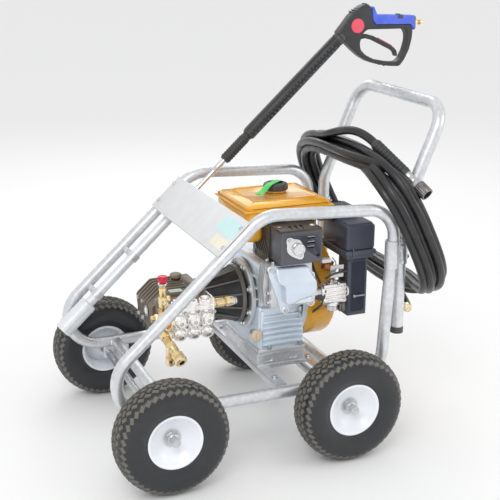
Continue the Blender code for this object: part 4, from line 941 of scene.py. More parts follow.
def pressTheValveCover():
    cover = {"front": -0.1985, "seat": -0.1705, "crease": 0.4175, "slope": 0.42}
    outline = softened([(0.078, 0.4535), (0.161, 0.4515), (0.166, 0.434), (0.1785, 0.414), (0.1795, 0.392), (0.166, 0.378),
                        (0.141, 0.374), (0.106, 0.360), (0.098, 0.371), (0.097, 0.408), (0.079, 0.424)], 0.007, 3)
    shell = sheetFrom([(axleMiddle + x, z) for x, z in outline], cover["front"], cover["seat"] + 0.003, 0.0045, 3)
    choose(shell)
    bpy.ops.object.mode_set(mode="EDIT")
    bpy.ops.mesh.select_all(action="SELECT")
    bpy.ops.mesh.bisect(plane_co=(0, 0, cover["crease"]), plane_no=(0, 0, 1))
    bpy.ops.object.mode_set(mode="OBJECT")
    for vertex in shell.data.vertices:
        rise = vertex.co.z - cover["crease"]
        if rise > 0 and vertex.co.y < cover["seat"] - 0.006:
            vertex.co.y += rise * cover["slope"]
    flangeOutline = softened([(0.064, 0.456), (0.076, 0.4575), (0.088, 0.4545), (0.166, 0.4545), (0.184, 0.418), (0.186, 0.366),
                              (0.182, 0.347), (0.166, 0.347), (0.158, 0.356), (0.122, 0.343), (0.118, 0.337), (0.100, 0.337),
                              (0.094, 0.346), (0.088, 0.372), (0.078, 0.396), (0.064, 0.436)], 0.005, 3)
    flange = sheetFrom([(axleMiddle + x, z) for x, z in flangeOutline], -0.1720, -0.1653, 0.0014, 2)
    handedOver(joined(shell, flange), "rocker_cover", "trolley", coverBlue, ("valve_cover",), 28)
    places = [(at(x, -0.1720, z), -sideways) for x, z in ((0.0700, 0.4480), (0.1085, 0.3435), (0.1750, 0.3540), (0.1745, 0.4230))]
    pads = [turned([(0.0088, -0.004), (0.0088, 0.0016), (0.0080, 0.0024)], place, way, 24) for place, way in places]
    handedOver(joined(*pads), "rocker_cover_pads", "trolley", coverBlue)
    handedOver(boltsAt([(place + way * 0.0024, way) for place, way in places], 0.0044, 0.0042), "rocker_cover_bolts",
               "trolley", zincPlate)
    low = block(at(0.112, -0.190, 0.3585), at(0.171, -0.170, 0.3765), 0.005, 3)
    handedOver(low, "rocker_cover_foot", "trolley", coverBlue)


def coverTheCrankcase():
    """Round side cover with radial ribs, bolt bosses and the seal's collar round the shaft."""
    seat = at(0.0698, 0, engine["shaftZ"])
    disc = turned([(0.0135, 0), (0.086, 0), (0.088, 0.002), (0.088, 0.008), (0.085, 0.011), (0.060, 0.0125), (0.044, 0.0165),
                   (0.030, 0.0175), (0.026, 0.0150), (0.0135, 0.0150)], seat, -forwards, 72, hollow=True)
    bits = [disc]
    for index in range(8):
        turn = Matrix.Rotation(2 * math.pi * (index + 0.5) / 8, 4, "X")
        rib = block((-0.0150, 0.030, -0.0022), (-0.0070, 0.080, 0.0022), 0.0012, 1)
        boss = turned([(0.0085, 0.004), (0.0085, 0.0135), (0.0078, 0.0145)], (0, 0.078, 0), -forwards, 20)
        for bit in (rib, boss):
            bit.data.transform(Matrix.Translation(seat) @ turn)
            bits.append(bit)
    handedOver(joined(*bits), "crankcase_side_cover", "trolley", castGrey, ("crankcase_cover",))
    places = []
    for index in range(8):
        angle = 2 * math.pi * (index + 0.5) / 8
        places.append((seat + Vector((-0.0145, 0.078 * math.cos(angle), 0.078 * math.sin(angle))), -forwards))
    handedOver(boltsAt(places, 0.0046, 0.0042), "side_cover_bolts", "trolley", zincPlate)


def turnTheShafts():
    low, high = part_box("crankshaft")
    wide = (high.z - low.z) / 2
    middle = axleMiddle + 0.130
    start = low.x
    profile = [(0.0115, 0), (0.0124, 0.001), (0.0124, middle - 0.024 - start), (0.0415, middle - 0.0235 - start),
               (0.0415, middle - 0.006 - start), (0.0180, middle - 0.005 - start), (0.0180, middle + 0.005 - start),
               (0.0415, middle + 0.006 - start), (0.0415, middle + 0.0235 - start), (0.0124, middle + 0.024 - start),
               (0.0124, 0.2095 + axleMiddle - start), (wide * 0.94, 0.2105 + axleMiddle - start),
               (wide * 0.995, 0.213 + axleMiddle - start), (wide * 0.995, 0.236 + axleMiddle - start),
               (wide * 0.93, 0.2395 + axleMiddle - start), (0.0300, 0.2398 + axleMiddle - start),
               (0.0295, high.x - 0.001 - start), (0.0280, high.x - start)]
    shaft = turned(profile, Vector((start, 0, engine["shaftZ"])), forwards, 48)
    vanes = []
    for index in range(16):
        vane = block((axleMiddle + 0.2385, 0.045, -0.0016), (axleMiddle + 0.2470, 0.088, 0.0016), 0.0006, 1)
        vane.data.transform(Matrix.Translation((0, 0, engine["shaftZ"])) @ Matrix.Rotation(2 * math.pi * index / 16, 4, "X"))
        vanes.append(vane)
    handedOver(joined(shaft, *vanes), "crank_and_flywheel", "engine_shaft", zincPlate, ("crankshaft",))
    low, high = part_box("pump_shaft")
    drive = turned([(0.0105, 0), (0.0124, 0.0015), (0.0124, high.x - low.x - 0.0015), (0.0112, high.x - low.x)],
                   Vector((low.x, 0, engine["shaftZ"])), forwards, 36)
    key = block((high.x - 0.040, -0.0025, engine["shaftZ"] + 0.010), (high.x - 0.004, 0.0025, engine["shaftZ"] + 0.0126), 0.0004, 1)
    handedOver(joined(drive, key), "pump_input_shaft", "pump_drive", zincPlate, ("pump_shaft",))


def coverTheFlywheel():
    """Pressed fan housing: rim, shoulder, slotted air intake and the recoil starter's dome."""
    seat = at(0.192, 0, engine["shaftZ"])
    shell = turned([(0.1212, 0), (0.1245, 0.0002), (0.1250, 0.002), (0.1250, 0.066), (0.1225, 0.074), (0.110, 0.0825),
                    (0.098, 0.0885), (0.092, 0.0898), (0.070, 0.0900), (0.066, 0.0898), (0.030, 0.0880), (0.0165, 0.0872),
                    (0.0165, 0.0850), (0.064, 0.0868), (0.094, 0.0868), (0.106, 0.0800), (0.118, 0.0715), (0.1212, 0.064)],
                   seat, forwards, 96, hollow=True)
    slots = []
    for index in range(18):
        slot = block((0.080, 0.048, -0.0026), (0.110, 0.078, 0.0026), 0.0010, 1)
        slot.data.transform(Matrix.Translation(seat) @ Matrix.Rotation(2 * math.pi * index / 18, 4, "X"))
        slots.append(slot)
    cutBy(shell, joined(*slots))
    handedOver(shell, "fan_housing", "trolley", orange, ("blower_housing",))
    band = turned([(0.1180, -0.0115), (0.1228, -0.0115), (0.1232, 0.0000), (0.1180, 0.0000)], seat, forwards, 80, hollow=True)
    handedOver(band, "fan_back_plate", "trolley", coverBlue)
    places = []
    for index in range(4):
        angle = math.radians(45 + 90 * index)
        places.append((seat + Vector((0.0875, 0.100 * math.cos(angle), 0.100 * math.sin(angle))), forwards))
    handedOver(boltsAt(places, 0.0046, 0.0036), "fan_housing_bolts", "trolley", zincPlate)
    low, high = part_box("starter_grip")
    middle = (low + high) / 2
    grip = turned([(0.0055, -0.036), (0.0078, -0.034), (0.0080, -0.014), (0.0066, -0.004), (0.0066, 0.004), (0.0080, 0.014),
                   (0.0078, 0.034), (0.0055, 0.036)], Vector((middle.x, high.y - 0.0082, middle.z)), forwards, 28)
    stem = turned([(0.0056, 0), (0.0050, 0.004), (0.0056, 0.012)], Vector((middle.x, low.y, middle.z)), sideways, 24)
    handedOver(joined(grip, stem), "starter_pull", "recoil_grip", blackPlastic, ("starter_grip",))
    guide = turned([(0.0042, 0), (0.0100, 0), (0.0105, 0.004), (0.0085, 0.0075), (0.0042, 0.0075)],
                   Vector((middle.x, low.y - 0.0080, middle.z)), sideways, 28, hollow=True)
    handedOver(guide, "starter_rope_guide", "trolley", blackPlastic)


# engine: tank, muffler and air cleaner

tankPlan = {
    "left": 0.035, "right": 0.265, "front": -0.105, "back": 0.105, "high": 0.590, "ledge": 0.5620, "seam": 0.5700,
    "cap": (0.162, 0.015), "muffler": (0.088, 0.192), "mufflerBack": -0.075, "sump": 0.492,
}


def pressTheTank():
    t = tankPlan
    upper = block(at(t["left"] + 0.003, t["front"] + 0.003, t["ledge"]), at(t["right"] - 0.003, t["back"] - 0.003, t["high"]), 0.017, 5)
    choose(upper)
    for vertex in upper.data.vertices:
        side = (vertex.co.y - (t["front"] + t["back"]) / 2) / ((t["back"] - t["front"]) / 2)
        end = (vertex.co.x - axleMiddle - 0.15) / 0.115
        if vertex.co.z > t["ledge"] + 0.018:
            vertex.co.z -= 0.0050 * abs(side) ** 3 + 0.0060 * abs(end) ** 3
    crown = stepped(upper, (0, 0, 1), 0.020, 0.0012)
    seam = block(at(t["left"], t["front"], t["seam"] - 0.0022), at(t["right"], t["back"], t["seam"] + 0.0012), 0.0012, 2)
    seam = bevelled(seam, 0.0004, 1)
    sump = block(at(t["left"] + 0.004, t["mufflerBack"] + 0.009, t["sump"]), at(t["right"] - 0.024, t["back"] - 0.004, 0.575), 0.014, 4)
    skirt = block(at(t["left"] + 0.004, t["front"] + 0.004, t["sump"] + 0.002), at(t["muffler"][0] - 0.007, -0.040, 0.575), 0.013, 4)
    neck = turned([(0.0255, -0.004), (0.0240, 0.002), (0.0222, 0.0035), (0.0220, 0.0075)], at(*t["cap"], t["high"]), up, 48)
    handedOver(joined(crown, seam, sump, skirt, neck), "fuel_tank_shell", "trolley", orange, ("fuel_tank",), 40)
    lid = [(0.0260, 0.0010), (0.0298, 0.0012), (0.0300, 0.0030), (0.0300, 0.0120), (0.0285, 0.0158), (0.0250, 0.0178),
           (0.0180, 0.0182), (0.0170, 0.0168)]
    cap = turned(lid, at(*t["cap"], t["high"]), up, 72)
    grips = []
    for index in range(12):
        nub = block((0.0275, -0.0032, 0.0022), (0.0308, 0.0032, 0.0130), 0.0012, 2)
        nub.data.transform(Matrix.Translation(at(*t["cap"], t["high"])) @ Matrix.Rotation(2 * math.pi * index / 12, 4, "Z"))
        grips.append(nub)
    inside = turned([(0.0226, -0.002), (0.0226, 0.0082)], at(*t["cap"], t["high"]), up, 48)
    cutBy(cap, inside)
    handedOver(joined(cap, *grips), "fuel_cap_shell", "tank_cap", blackPlastic, ("fuel_cap",))
    strip = []
    path = [(0.094, -0.036, 0.5945), (0.112, -0.024, 0.5990), (0.132, -0.010, 0.6092), (0.152, 0.006, 0.6108),
            (0.172, 0.020, 0.6106), (0.190, 0.032, 0.6020)]
    spine = smoothRoute([at(*p) for p in path], 8)
    ribbon = line(spine, 0.0012, roundness=2)
    choose(ribbon)
    bpy.ops.object.convert(target="MESH")
    ribbon = bpy.context.object
    ahead = (spine[-1] - spine[0]).normalized()
    across = ahead.cross(up).normalized()
    for vertex in ribbon.data.vertices:
        nearest = min(spine, key=lambda p: (p - vertex.co).length_squared)
        offset = (vertex.co - nearest).dot(across)
        vertex.co += across * offset * 6.6
    strip.append(ribbon)
    handedOver(joined(*strip), "seal_tag", "tank_cap", greenTag)


def bracketTheTank():
    """Dark rail under the tank's near edge, with its bolts."""
    t = tankPlan
    rail = block(at(0.083, t["front"] - 0.001, 0.5515), at(0.212, t["front"] + 0.022, 0.5600), 0.0015, 2)
    lip = block(at(0.083, t["front"] - 0.0025, 0.5515), at(0.212, t["front"] + 0.0005, 0.5660), 0.0010, 2)
    end = block(at(0.205, t["front"] + 0.002, 0.500), at(0.212, -0.040, 0.5535), 0.0015, 2)
    handedOver(joined(rail, lip, end), "tank_rail", "trolley", guardBrown)
    handedOver(boltsAt([(at(x, t["front"] - 0.0025, 0.5590), -sideways) for x in (0.092, 0.150, 0.204)], 0.0036, 0.0030),
               "tank_rail_screws", "trolley", zincPlate)
    duct = block(at(0.224, -0.100, 0.5290), at(0.338, -0.022, 0.5560), 0.010, 3)
    for vertex in duct.data.vertices:
        share = (vertex.co.x - axleMiddle - 0.224) / 0.114
        if vertex.co.z > 0.540:
            vertex.co.z += 0.014 * math.sin(math.pi * min(1, max(0, share)) * 0.9 + 0.25) - 0.004
    lid = stepped(duct, (0, 0, 1), 0.012, 0.0012)
    handedOver(lid, "air_duct", "trolley", blackPlastic)


def shieldTheMuffler():
    guard = {"left": 0.086, "right": 0.192, "front": -0.195, "back": -0.077, "low": 0.4605, "high": 0.5405}
    left, right, front, back, low, high = (guard[k] for k in ("left", "right", "front", "back", "low", "high"))
    body = block(at(left, front, low), at(right, back, high), 0.0045, 3)
    cutters = [block(at(0.1515, front - 0.01, z), at(0.1700, front + 0.006, z + 0.0050), 0.0015, 2) for z in (0.4975, 0.5090, 0.5205)]
    cutters.append(block(at(0.176, front - 0.01, 0.4760), at(0.184, front + 0.006, 0.4815), 0.0015, 2))
    cutBy(body, joined(*cutters))
    handedOver(body, "muffler_shield", "trolley", guardBlack, ("muffler_guard",))
    lips = [block(at(0.1515, front - 0.0022, z + 0.0042), at(0.1700, front + 0.0035, z + 0.0062), 0.0007, 1)
            for z in (0.4975, 0.5090, 0.5205)]
    handedOver(joined(*lips), "shield_louvres", "trolley", zincPlate)
    top = block(at(left - 0.001, front + 0.001, high - 0.0015), at(right - 0.002, back + 0.002, high + 0.0035), 0.0014, 2)
    slots = []
    for x in (0.118, 0.1325, 0.147):
        slot = block((-0.0030, -0.0175, -0.02), (0.0030, 0.0175, 0.02), 0.0012, 2)
        slot.data.transform(Matrix.Translation(at(x, -0.172, high)) @ Matrix.Rotation(math.radians(-14), 4, "Z"))
        slots.append(slot)
    cutBy(top, joined(*slots))
    handedOver(top, "muffler_top_plate", "trolley", guardBrown)
    screws = []
    for x, y, finish in ((0.0955, -0.160, darkZinc), (0.176, -0.168, zincPlate)):
        head = turned([(0.0072, 0), (0.0075, 0.0012), (0.0066, 0.0026), (0.0040, 0.0033)], at(x, y, high + 0.0034), up, 28)
        slot = block(at(x - 0.006, y - 0.0008, high + 0.0056), at(x + 0.006, y + 0.0008, high + 0.02), 0)
        screws.append((cutBy(head, slot), finish))
    for index, (head, finish) in enumerate(screws):
        handedOver(head, f"top_plate_screw_{index}", "trolley", finish)
    side = block(at(left - 0.0045, back - 0.055, low - 0.012), at(left + 0.0015, back + 0.042, high + 0.001), 0.0015, 2)
    ribs = [side]
    for index in range(6):
        rib = block((-0.0032, -0.0022, -0.034), (0.0012, 0.0022, 0.034), 0.0010, 1)
        turn = Matrix.Rotation(math.radians(-38), 4, "X")
        rib.data.transform(Matrix.Translation(at(left - 0.0045, back - 0.036 + index * 0.0135, (low + high) / 2 - 0.004)) @ turn)
        ribs.append(rib)
    handedOver(joined(*ribs), "muffler_side_shield", "trolley", guardBrown)
    nuts = boltsAt([(at(left - 0.0048, -0.128, 0.4575), -forwards), (at(left - 0.0048, -0.045, 0.4560), -forwards)], 0.0044, 0.0040)
    handedOver(nuts, "side_shield_bolts", "trolley", zincPlate)


def fitTheOutlet():
    """Two-eared cast flange with the domed spark arrester pushed through it."""
    low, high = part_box("spark_arrester")
    centre = (low + high) / 2
    face = high.y
    lobes = []
    for angle in range(0, 360, 10):
        turn = math.radians(angle)
        reach = 0.0205 + 0.0105 * max(0, math.cos(2 * (turn - math.radians(128)))) ** 3 + 0.0055 * max(0, math.cos(turn + math.radians(70))) ** 6
        lobes.append((centre.x - 0.004 + reach * math.cos(turn), centre.z + 0.002 + reach * math.sin(turn)))
    flange = sheetFrom(lobes, face - 0.0046, face, 0.0011, 2)
    dome = turned([(0.0150, 0.003), (0.0150, 0.0115), (0.0142, 0.0128), (0.0118, 0.0136), (0.0112, 0.0122)],
                  Vector((centre.x + 0.004, face, centre.z - 0.002)), -sideways, 48)
    handedOver(joined(flange, dome), "exhaust_outlet", "trolley", stainless, ("spark_arrester",))
    ears = [(Vector((centre.x - 0.004 + 0.0235 * math.cos(math.radians(a)), face - 0.0046,
                     centre.z + 0.002 + 0.0235 * math.sin(math.radians(a)))), -sideways) for a in (128, 308)]
    handedOver(boltsAt(ears, 0.0034, 0.0030), "outlet_bolts", "trolley", zincPlate)


def boxTheAirCleaner():
    lowZ, split, highZ = 0.300, 0.4450, 0.530
    cover = block(at(0.270, -0.165, 0.4660), at(0.348, -0.030, highZ), 0.0085, 4)
    band = block(at(0.2685, -0.1668, 0.4545), at(0.3495, -0.0285, 0.4665), 0.0022, 2)
    ledge = block(at(0.2725, -0.1630, 0.4455), at(0.3455, -0.032, 0.4550), 0.0022, 2)
    lid = block(at(0.276, -0.158, highZ - 0.002), at(0.342, -0.040, highZ + 0.003), 0.0022, 2)
    handedOver(joined(cover, band, ledge, lid), "filter_cover", "trolley", boxPlastic, ("air_cleaner_cover",))
    base = block(at(0.282, -0.153, lowZ), at(0.336, -0.098, split), 0.0060, 3)
    base = stepped(base, (0, -1, 0), 0.0060, -0.0012)
    ribs = [block(at(x, -0.100, lowZ + 0.012), at(x + 0.003, -0.0955, split - 0.01), 0.001, 1) for x in (0.290, 0.302, 0.314, 0.326)]
    foot = block(at(0.2835, -0.1525, lowZ - 0.0025), at(0.3345, -0.100, lowZ + 0.0035), 0.0018, 2)
    handedOver(joined(base, foot, *ribs), "filter_base", "trolley", boxPlastic, ("air_cleaner_base",))
    latch = block(at(0.297, -0.1570, 0.3465), at(0.329, -0.1515, 0.3500), 0.0010, 2)
    knob = turned([(0.0036, 0), (0.0040, 0.004), (0.0030, 0.0055)], at(0.300, -0.153, 0.3482), -sideways, 24)
    handedOver(joined(latch, knob), "filter_latch", "trolley", zincPlate)
    bail = tube(smoothRoute([at(0.2865, -0.1535, 0.478), at(0.2865, -0.1700, 0.470), at(0.2865, -0.1690, 0.452),
                             at(0.2865, -0.1560, 0.440)], 6), 0.0014, roundness=4)
    handedOver(bail, "filter_clip", "trolley", darkZinc)


def fitTheCarburettor():
    left, right, low, high, front, back = 0.214, 0.2815, 0.316, 0.388, -0.166, -0.128
    plate = block(at(left, front + 0.004, 0.3385), at(0.2745, back, high), 0.0030, 2)
    bits = [plate]
    for index in range(4):
        z = 0.3440 + index * 0.0108
        bits.append(block(at(left + 0.001, front - 0.0002, z), at(0.2735, front + 0.0055, z + 0.0052), 0.0014, 2))
    neck = turned([(0.0150, 0), (0.0150, 0.0040), (0.0110, 0.0050), (0.0110, 0.016)], at(0.2815, -0.147, 0.364), -forwards, 28)
    throat = turned([(0.0125, 0), (0.0125, 0.026), (0.0155, 0.0265), (0.0155, 0.0310)], at(0.184, -0.146, 0.367), forwards, 28)
    handedOver(joined(*bits, neck, throat), "carburettor_body", "trolley", nickel, ("carburettor",))
    bowl = turned([(0.0165, 0), (0.0178, -0.003), (0.0178, -0.006), (0.0160, -0.0075), (0.0158, -0.0180), (0.0130, -0.0215),
                   (0.0060, -0.0225), (0.0058, -0.0262)], at(0.2440, -0.147, 0.3395), up, 36)
    handedOver(bowl, "float_bowl", "trolley", nickel)
    cock = block(at(0.256, -0.1655, 0.3165), at(0.2715, -0.150, 0.3375), 0.0025, 2)
    lever = block(at(0.2605, -0.1695, 0.3205), at(0.2665, -0.1652, 0.3370), 0.0015, 2)
    handedOver(joined(cock, lever), "fuel_cock", "trolley", darkZinc)
    leverLow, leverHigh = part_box("throttle_lever")
    z = leverLow.z
    arm = block((leverLow.x + 0.003, leverLow.y, z), (leverHigh.x - 0.003, leverHigh.y, leverHigh.z), 0.0008, 2)
    eye = turned([(0.0095, 0), (0.0095, leverHigh.z - z)], (leverLow.x + 0.010, -0.147, z), up, 32)
    arm = joined(arm, eye)
    bore = turned([(0.0045, -0.01), (0.0045, 0.02)], (leverLow.x + 0.010, -0.147, z), up, 28)
    tip = turned([(0.0036, 0), (0.0036, 0.006), (0.0022, 0.008)], (leverLow.x + 0.010, leverLow.y + 0.006, leverHigh.z - 0.0004), up, 20)
    handedOver(joined(cutBy(arm, bore), tip), "throttle_arm", "throttle", zincPlate, ("throttle_lever",))
    post = turned([(0.0080, 0), (0.0080, 0.0026), (0.0040, 0.0028), (0.0040, 0.0078)], at(0.240, -0.147, high), up, 28)
    handedOver(post, "throttle_post", "trolley", zincPlate)
    linkage = tube(smoothRoute([at(0.243, -0.128, 0.4065), at(0.252, -0.130, 0.4120), at(0.262, -0.126, 0.4280),
                                at(0.259, -0.112, 0.4400)], 6), 0.0013, roundness=4)
    bracket = block(at(0.236, -0.150, 0.400), at(0.272, -0.1475, 0.432), 0.0008, 1)
    hole = turned([(0.0060, -0.02), (0.0060, 0.02)], at(0.256, -0.149, 0.416), sideways, 24)
    handedOver(joined(cutBy(bracket, hole), linkage), "governor_link", "trolley", zincPlate)
    coil = turned([(0.0100, 0), (0.0104, 0.002), (0.0104, 0.022), (0.0096, 0.024)], at(0.222, -0.138, 0.432), Vector((0.92, 0, -0.38)), 28)
    handedOver(coil, "ignition_coil", "trolley", layered("coil_brown", ((0.42, 0.13, 0.03), (0.28, 0.08, 0.02)), (0.3, 0.5)))
    cap = block(at(0.212, -0.152, 0.4405), at(0.238, -0.134, 0.4500), 0.0022, 2)
    handedOver(cap, "coil_cap", "trolley", layered("cap_white", ((0.85, 0.84, 0.82), (0.72, 0.71, 0.69)), (0.35, 0.5)))
    cables = [tube(smoothRoute(points, 8), 0.0028, roundness=5) for points in (
        [at(0.222, -0.150, 0.400), at(0.240, -0.158, 0.4130), at(0.270, -0.156, 0.4160), at(0.290, -0.140, 0.4120)],
        [at(0.205, -0.085, 0.520), at(0.222, -0.110, 0.495), at(0.258, -0.120, 0.486), at(0.280, -0.112, 0.486)],
        [at(0.224, -0.157, 0.392), at(0.218, -0.160, 0.370), at(0.214, -0.152, 0.338), at(0.204, -0.110, 0.300)])]
    handedOver(joined(*cables), "engine_cables", "trolley", blackPlastic)


def capTheOilFiller():
    low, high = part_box("oil_filler_cap")
    centre = (low + high) / 2
    cap = turned([(0.0118, 0.0003), (0.0128, 0.0010), (0.0130, 0.0060), (0.0122, 0.0090), (0.0100, 0.0098)],
                 Vector((centre.x, high.y, centre.z)), -sideways, 40)
    wing = block(Vector((centre.x - 0.0022, low.y, centre.z - 0.0100)), Vector((centre.x + 0.0022, low.y + 0.008, centre.z + 0.0100)), 0.0014, 2)
    nubs = []
    for index in range(14):
        nub = block((0.0118, -0.0013, 0.0012), (0.0136, 0.0013, 0.0082), 0.0006, 1)
        nub.data.transform(Matrix.Translation(Vector((centre.x, high.y, centre.z))) @ turnTo(-sideways) @ Matrix.Rotation(2 * math.pi * index / 14, 4, "Z"))
        nubs.append(nub)
    handedOver(joined(cap, wing, *nubs), "oil_cap_shell", "oil_cap", creamCap, ("oil_filler_cap",))

# deck, panel and lance holder

deck = {"left": 0.066, "right": 0.224, "bar": 0.028, "top": 0.178, "drop": 0.020, "sheet": 0.0045, "inner": 0.2182}


def weldTheDeck():
    left, right, top, inner = (deck[k] for k in ("left", "right", "top", "inner"))
    bars = []
    for x, web in ((left, left), (right - deck["bar"], right - deck["sheet"])):
        bars.append(block(at(x, -inner, top - deck["sheet"]), at(x + deck["bar"], inner, top), 0.0012, 2))
        bars.append(block(at(web, -inner, top - deck["drop"]), at(web + deck["sheet"], inner, top - 0.001), 0.0012, 2))
    plate = block(at(left + 0.001, -0.108, top - 0.0055), at(right - 0.001, 0.113, top - 0.0008), 0.0010, 2)
    riser = block(at(0.0662, -0.1050, top - 0.001), at(0.1938, 0.1098, 0.2118), 0.0030, 3)
    lips = [block(at(0.0640, -0.1075, 0.2050), at(0.1960, 0.1120, 0.2100), 0.0014, 2),
            block(at(0.0640, -0.1080, top - 0.0006), at(0.1965, 0.1125, top + 0.0040), 0.0014, 2)]
    slots = [block(at(x, -0.130, 0.188), at(x + 0.022, -0.1030, 0.196), 0.0030, 3) for x in (0.084, 0.150)]
    cutBy(riser, joined(*slots))
    handedOver(joined(*bars, plate, riser, *lips), "engine_bed", "trolley", zinc, ("engine_deck",))
    places = [(at(x, y, top), up) for x in (left + 0.013, right - 0.013) for y in (-0.180, 0.180)]
    places += [(at(right - 0.014, y, top), up) for y in (-0.092, 0.095)]
    handedOver(boltsAt(places, 0.0056, 0.0046), "engine_bed_bolts", "trolley", zincPlate)


panel = {"low": 0.304, "high": 0.407, "half": 0.2415, "thick": 0.003, "lift": 0.0148}


def foldThePanel():
    """Plate across both diagonals, with a folded lower edge, rounded corners and screws."""
    turn = frameTube["diagonal"]
    base = at(frameTube["diagonalAt"][0], 0, frameTube["diagonalAt"][1])
    lean = Matrix.Translation(base) @ Matrix.Rotation(-turn, 4, "Y")
    low, high, half, lift = (panel[k] for k in ("low", "high", "half", "lift"))
    sheet = block((low, -half, lift), (high, half, lift + panel["thick"]), 0.0009, 2)
    fold = block((low - 0.0002, -0.214, lift - 0.013), (low + 0.0026, 0.214, lift + 0.0026), 0.0009, 2)
    back = block((high - 0.0026, -0.214, lift - 0.013), (high + 0.0002, 0.214, lift + 0.0026), 0.0009, 2)
    for bit in (sheet, fold, back):
        bit.data.transform(lean)
    handedOver(joined(sheet, fold, back), "front_panel", "trolley", panelPaint, ("label_panel",))
    skyward = lean.to_3x3() @ Vector((0, 0, 1))
    places = [(lean @ Vector((s, y, lift + panel["thick"])), skyward)
              for s in (low + 0.022, high - 0.022) for y in (-0.232, 0.232)]
    heads = []
    for place, way in places:
        heads.append(turned([(0.0052, 0), (0.0054, 0.0008), (0.0046, 0.0022), (0.0026, 0.0028)], place, way, 24))
    handedOver(joined(*heads), "panel_screws", "trolley", zincPlate)
    patches = (("panel_patch_cool", (0.352, -0.246 + 0.012), (0.394, -0.130), ((0.62, 0.84, 0.84), (0.55, 0.79, 0.80))),
               ("panel_patch_warm", (0.318, -0.234), (0.345, -0.160), ((0.88, 0.84, 0.68), (0.82, 0.78, 0.62))))
    for name, (sLow, yLow), (sHigh, yHigh), colours in patches:
        patch = block((sLow, yLow, lift + panel["thick"] - 0.0002), (sHigh, yHigh, lift + panel["thick"] + 0.00035), 0.0001, 1)
        patch.data.transform(lean)
        handedOver(patch, name, "trolley", layered(name + "_ink", colours, (0.3, 0.42), grain=26, bump=0.03))


lance = {
    "y": 0.195, "angle": math.radians(42.8), "foot": (-0.345, 0.2249), "cupRadius": 0.0225, "cup": 0.095,
    "guideRadius": 0.0125, "guideBore": 0.0095, "guideEnd": 0.430, "tube": 0.006, "collar": (0.600, 0.684),
    "grip": (0.690, 1.0417), "gripRadius": 0.0175,
}


def lancePoint(along, across=0.0, aside=0.0):
    angle = lance["angle"]
    x = lance["foot"][0] + along * math.cos(angle) - across * math.sin(angle)
    z = lance["foot"][1] + along * math.sin(angle) + across * math.cos(angle)
    return at(x, lance["y"] + aside, z)


def laneOf():
    """The frame whose Z runs along the lance and whose Y stays across the machine."""
    ahead = Vector((math.cos(lance["angle"]), 0, math.sin(lance["angle"])))
    turn = Matrix((sideways.cross(ahead), sideways, ahead)).transposed().to_4x4()
    return Matrix.Translation(lancePoint(0)) @ turn


def weldTheHolder():
    ahead = laneOf().to_3x3() @ up
    r, cup, bore = lance["cupRadius"], lance["cup"], lance["guideBore"]
    body = turned([(r - 0.0030, 0.0030), (r - 0.0030, cup - 0.0034), (bore, cup - 0.0030), (bore, lance["guideEnd"]),
                   (lance["guideRadius"] - 0.0006, lance["guideEnd"]), (lance["guideRadius"], lance["guideEnd"] - 0.0008),
                   (lance["guideRadius"], cup + 0.0030), (lance["guideRadius"] + 0.0022, cup + 0.0006), (r - 0.0020, cup),
                   (r, cup - 0.0022), (r, 0.0020), (r - 0.0018, 0), (0.0080, 0), (0.0080, 0.0030)],
                  lancePoint(0), ahead, 56, hollow=True)
    rims = [turned([(r - 0.0004, s), (r + 0.0012, s + 0.0012), (r + 0.0012, s + 0.0040), (r - 0.0004, s + 0.0052)],
                   lancePoint(0), ahead, 56) for s in (0.004, cup - 0.012)]
    for rim in rims:
        hole = turned([(r - 0.0010, -0.01), (r - 0.0010, 0.2)], lancePoint(0), ahead, 56)
        cutBy(rim, hole)
    handedOver(joined(body, *rims), "lance_rest", "trolley", cupPaint, ("lance_holder",))
    straps = []
    for s in (0.118, 0.250, 0.392):
        inner = turned([(lance["guideRadius"] + 0.0002, s), (lance["guideRadius"] + 0.0030, s),
                        (lance["guideRadius"] + 0.0030, s + 0.018), (lance["guideRadius"] + 0.0002, s + 0.018)],
                       lancePoint(0), ahead, 40, hollow=True)
        arm = block((-0.0210, 0.0080, s + 0.0015), (-0.0035, 0.0300, s + 0.0165), 0.0010, 2)
        arm.data.transform(laneOf())
        straps += [inner, arm]
    handedOver(joined(*straps), "lance_rest_straps", "trolley", zinc)


# lance and spray gun

def gunOutline(offsets):
    neck = lancePoint(lance["grip"][1] + 0.0003)
    return [(neck.x + along, neck.z + rise) for along, rise in offsets]


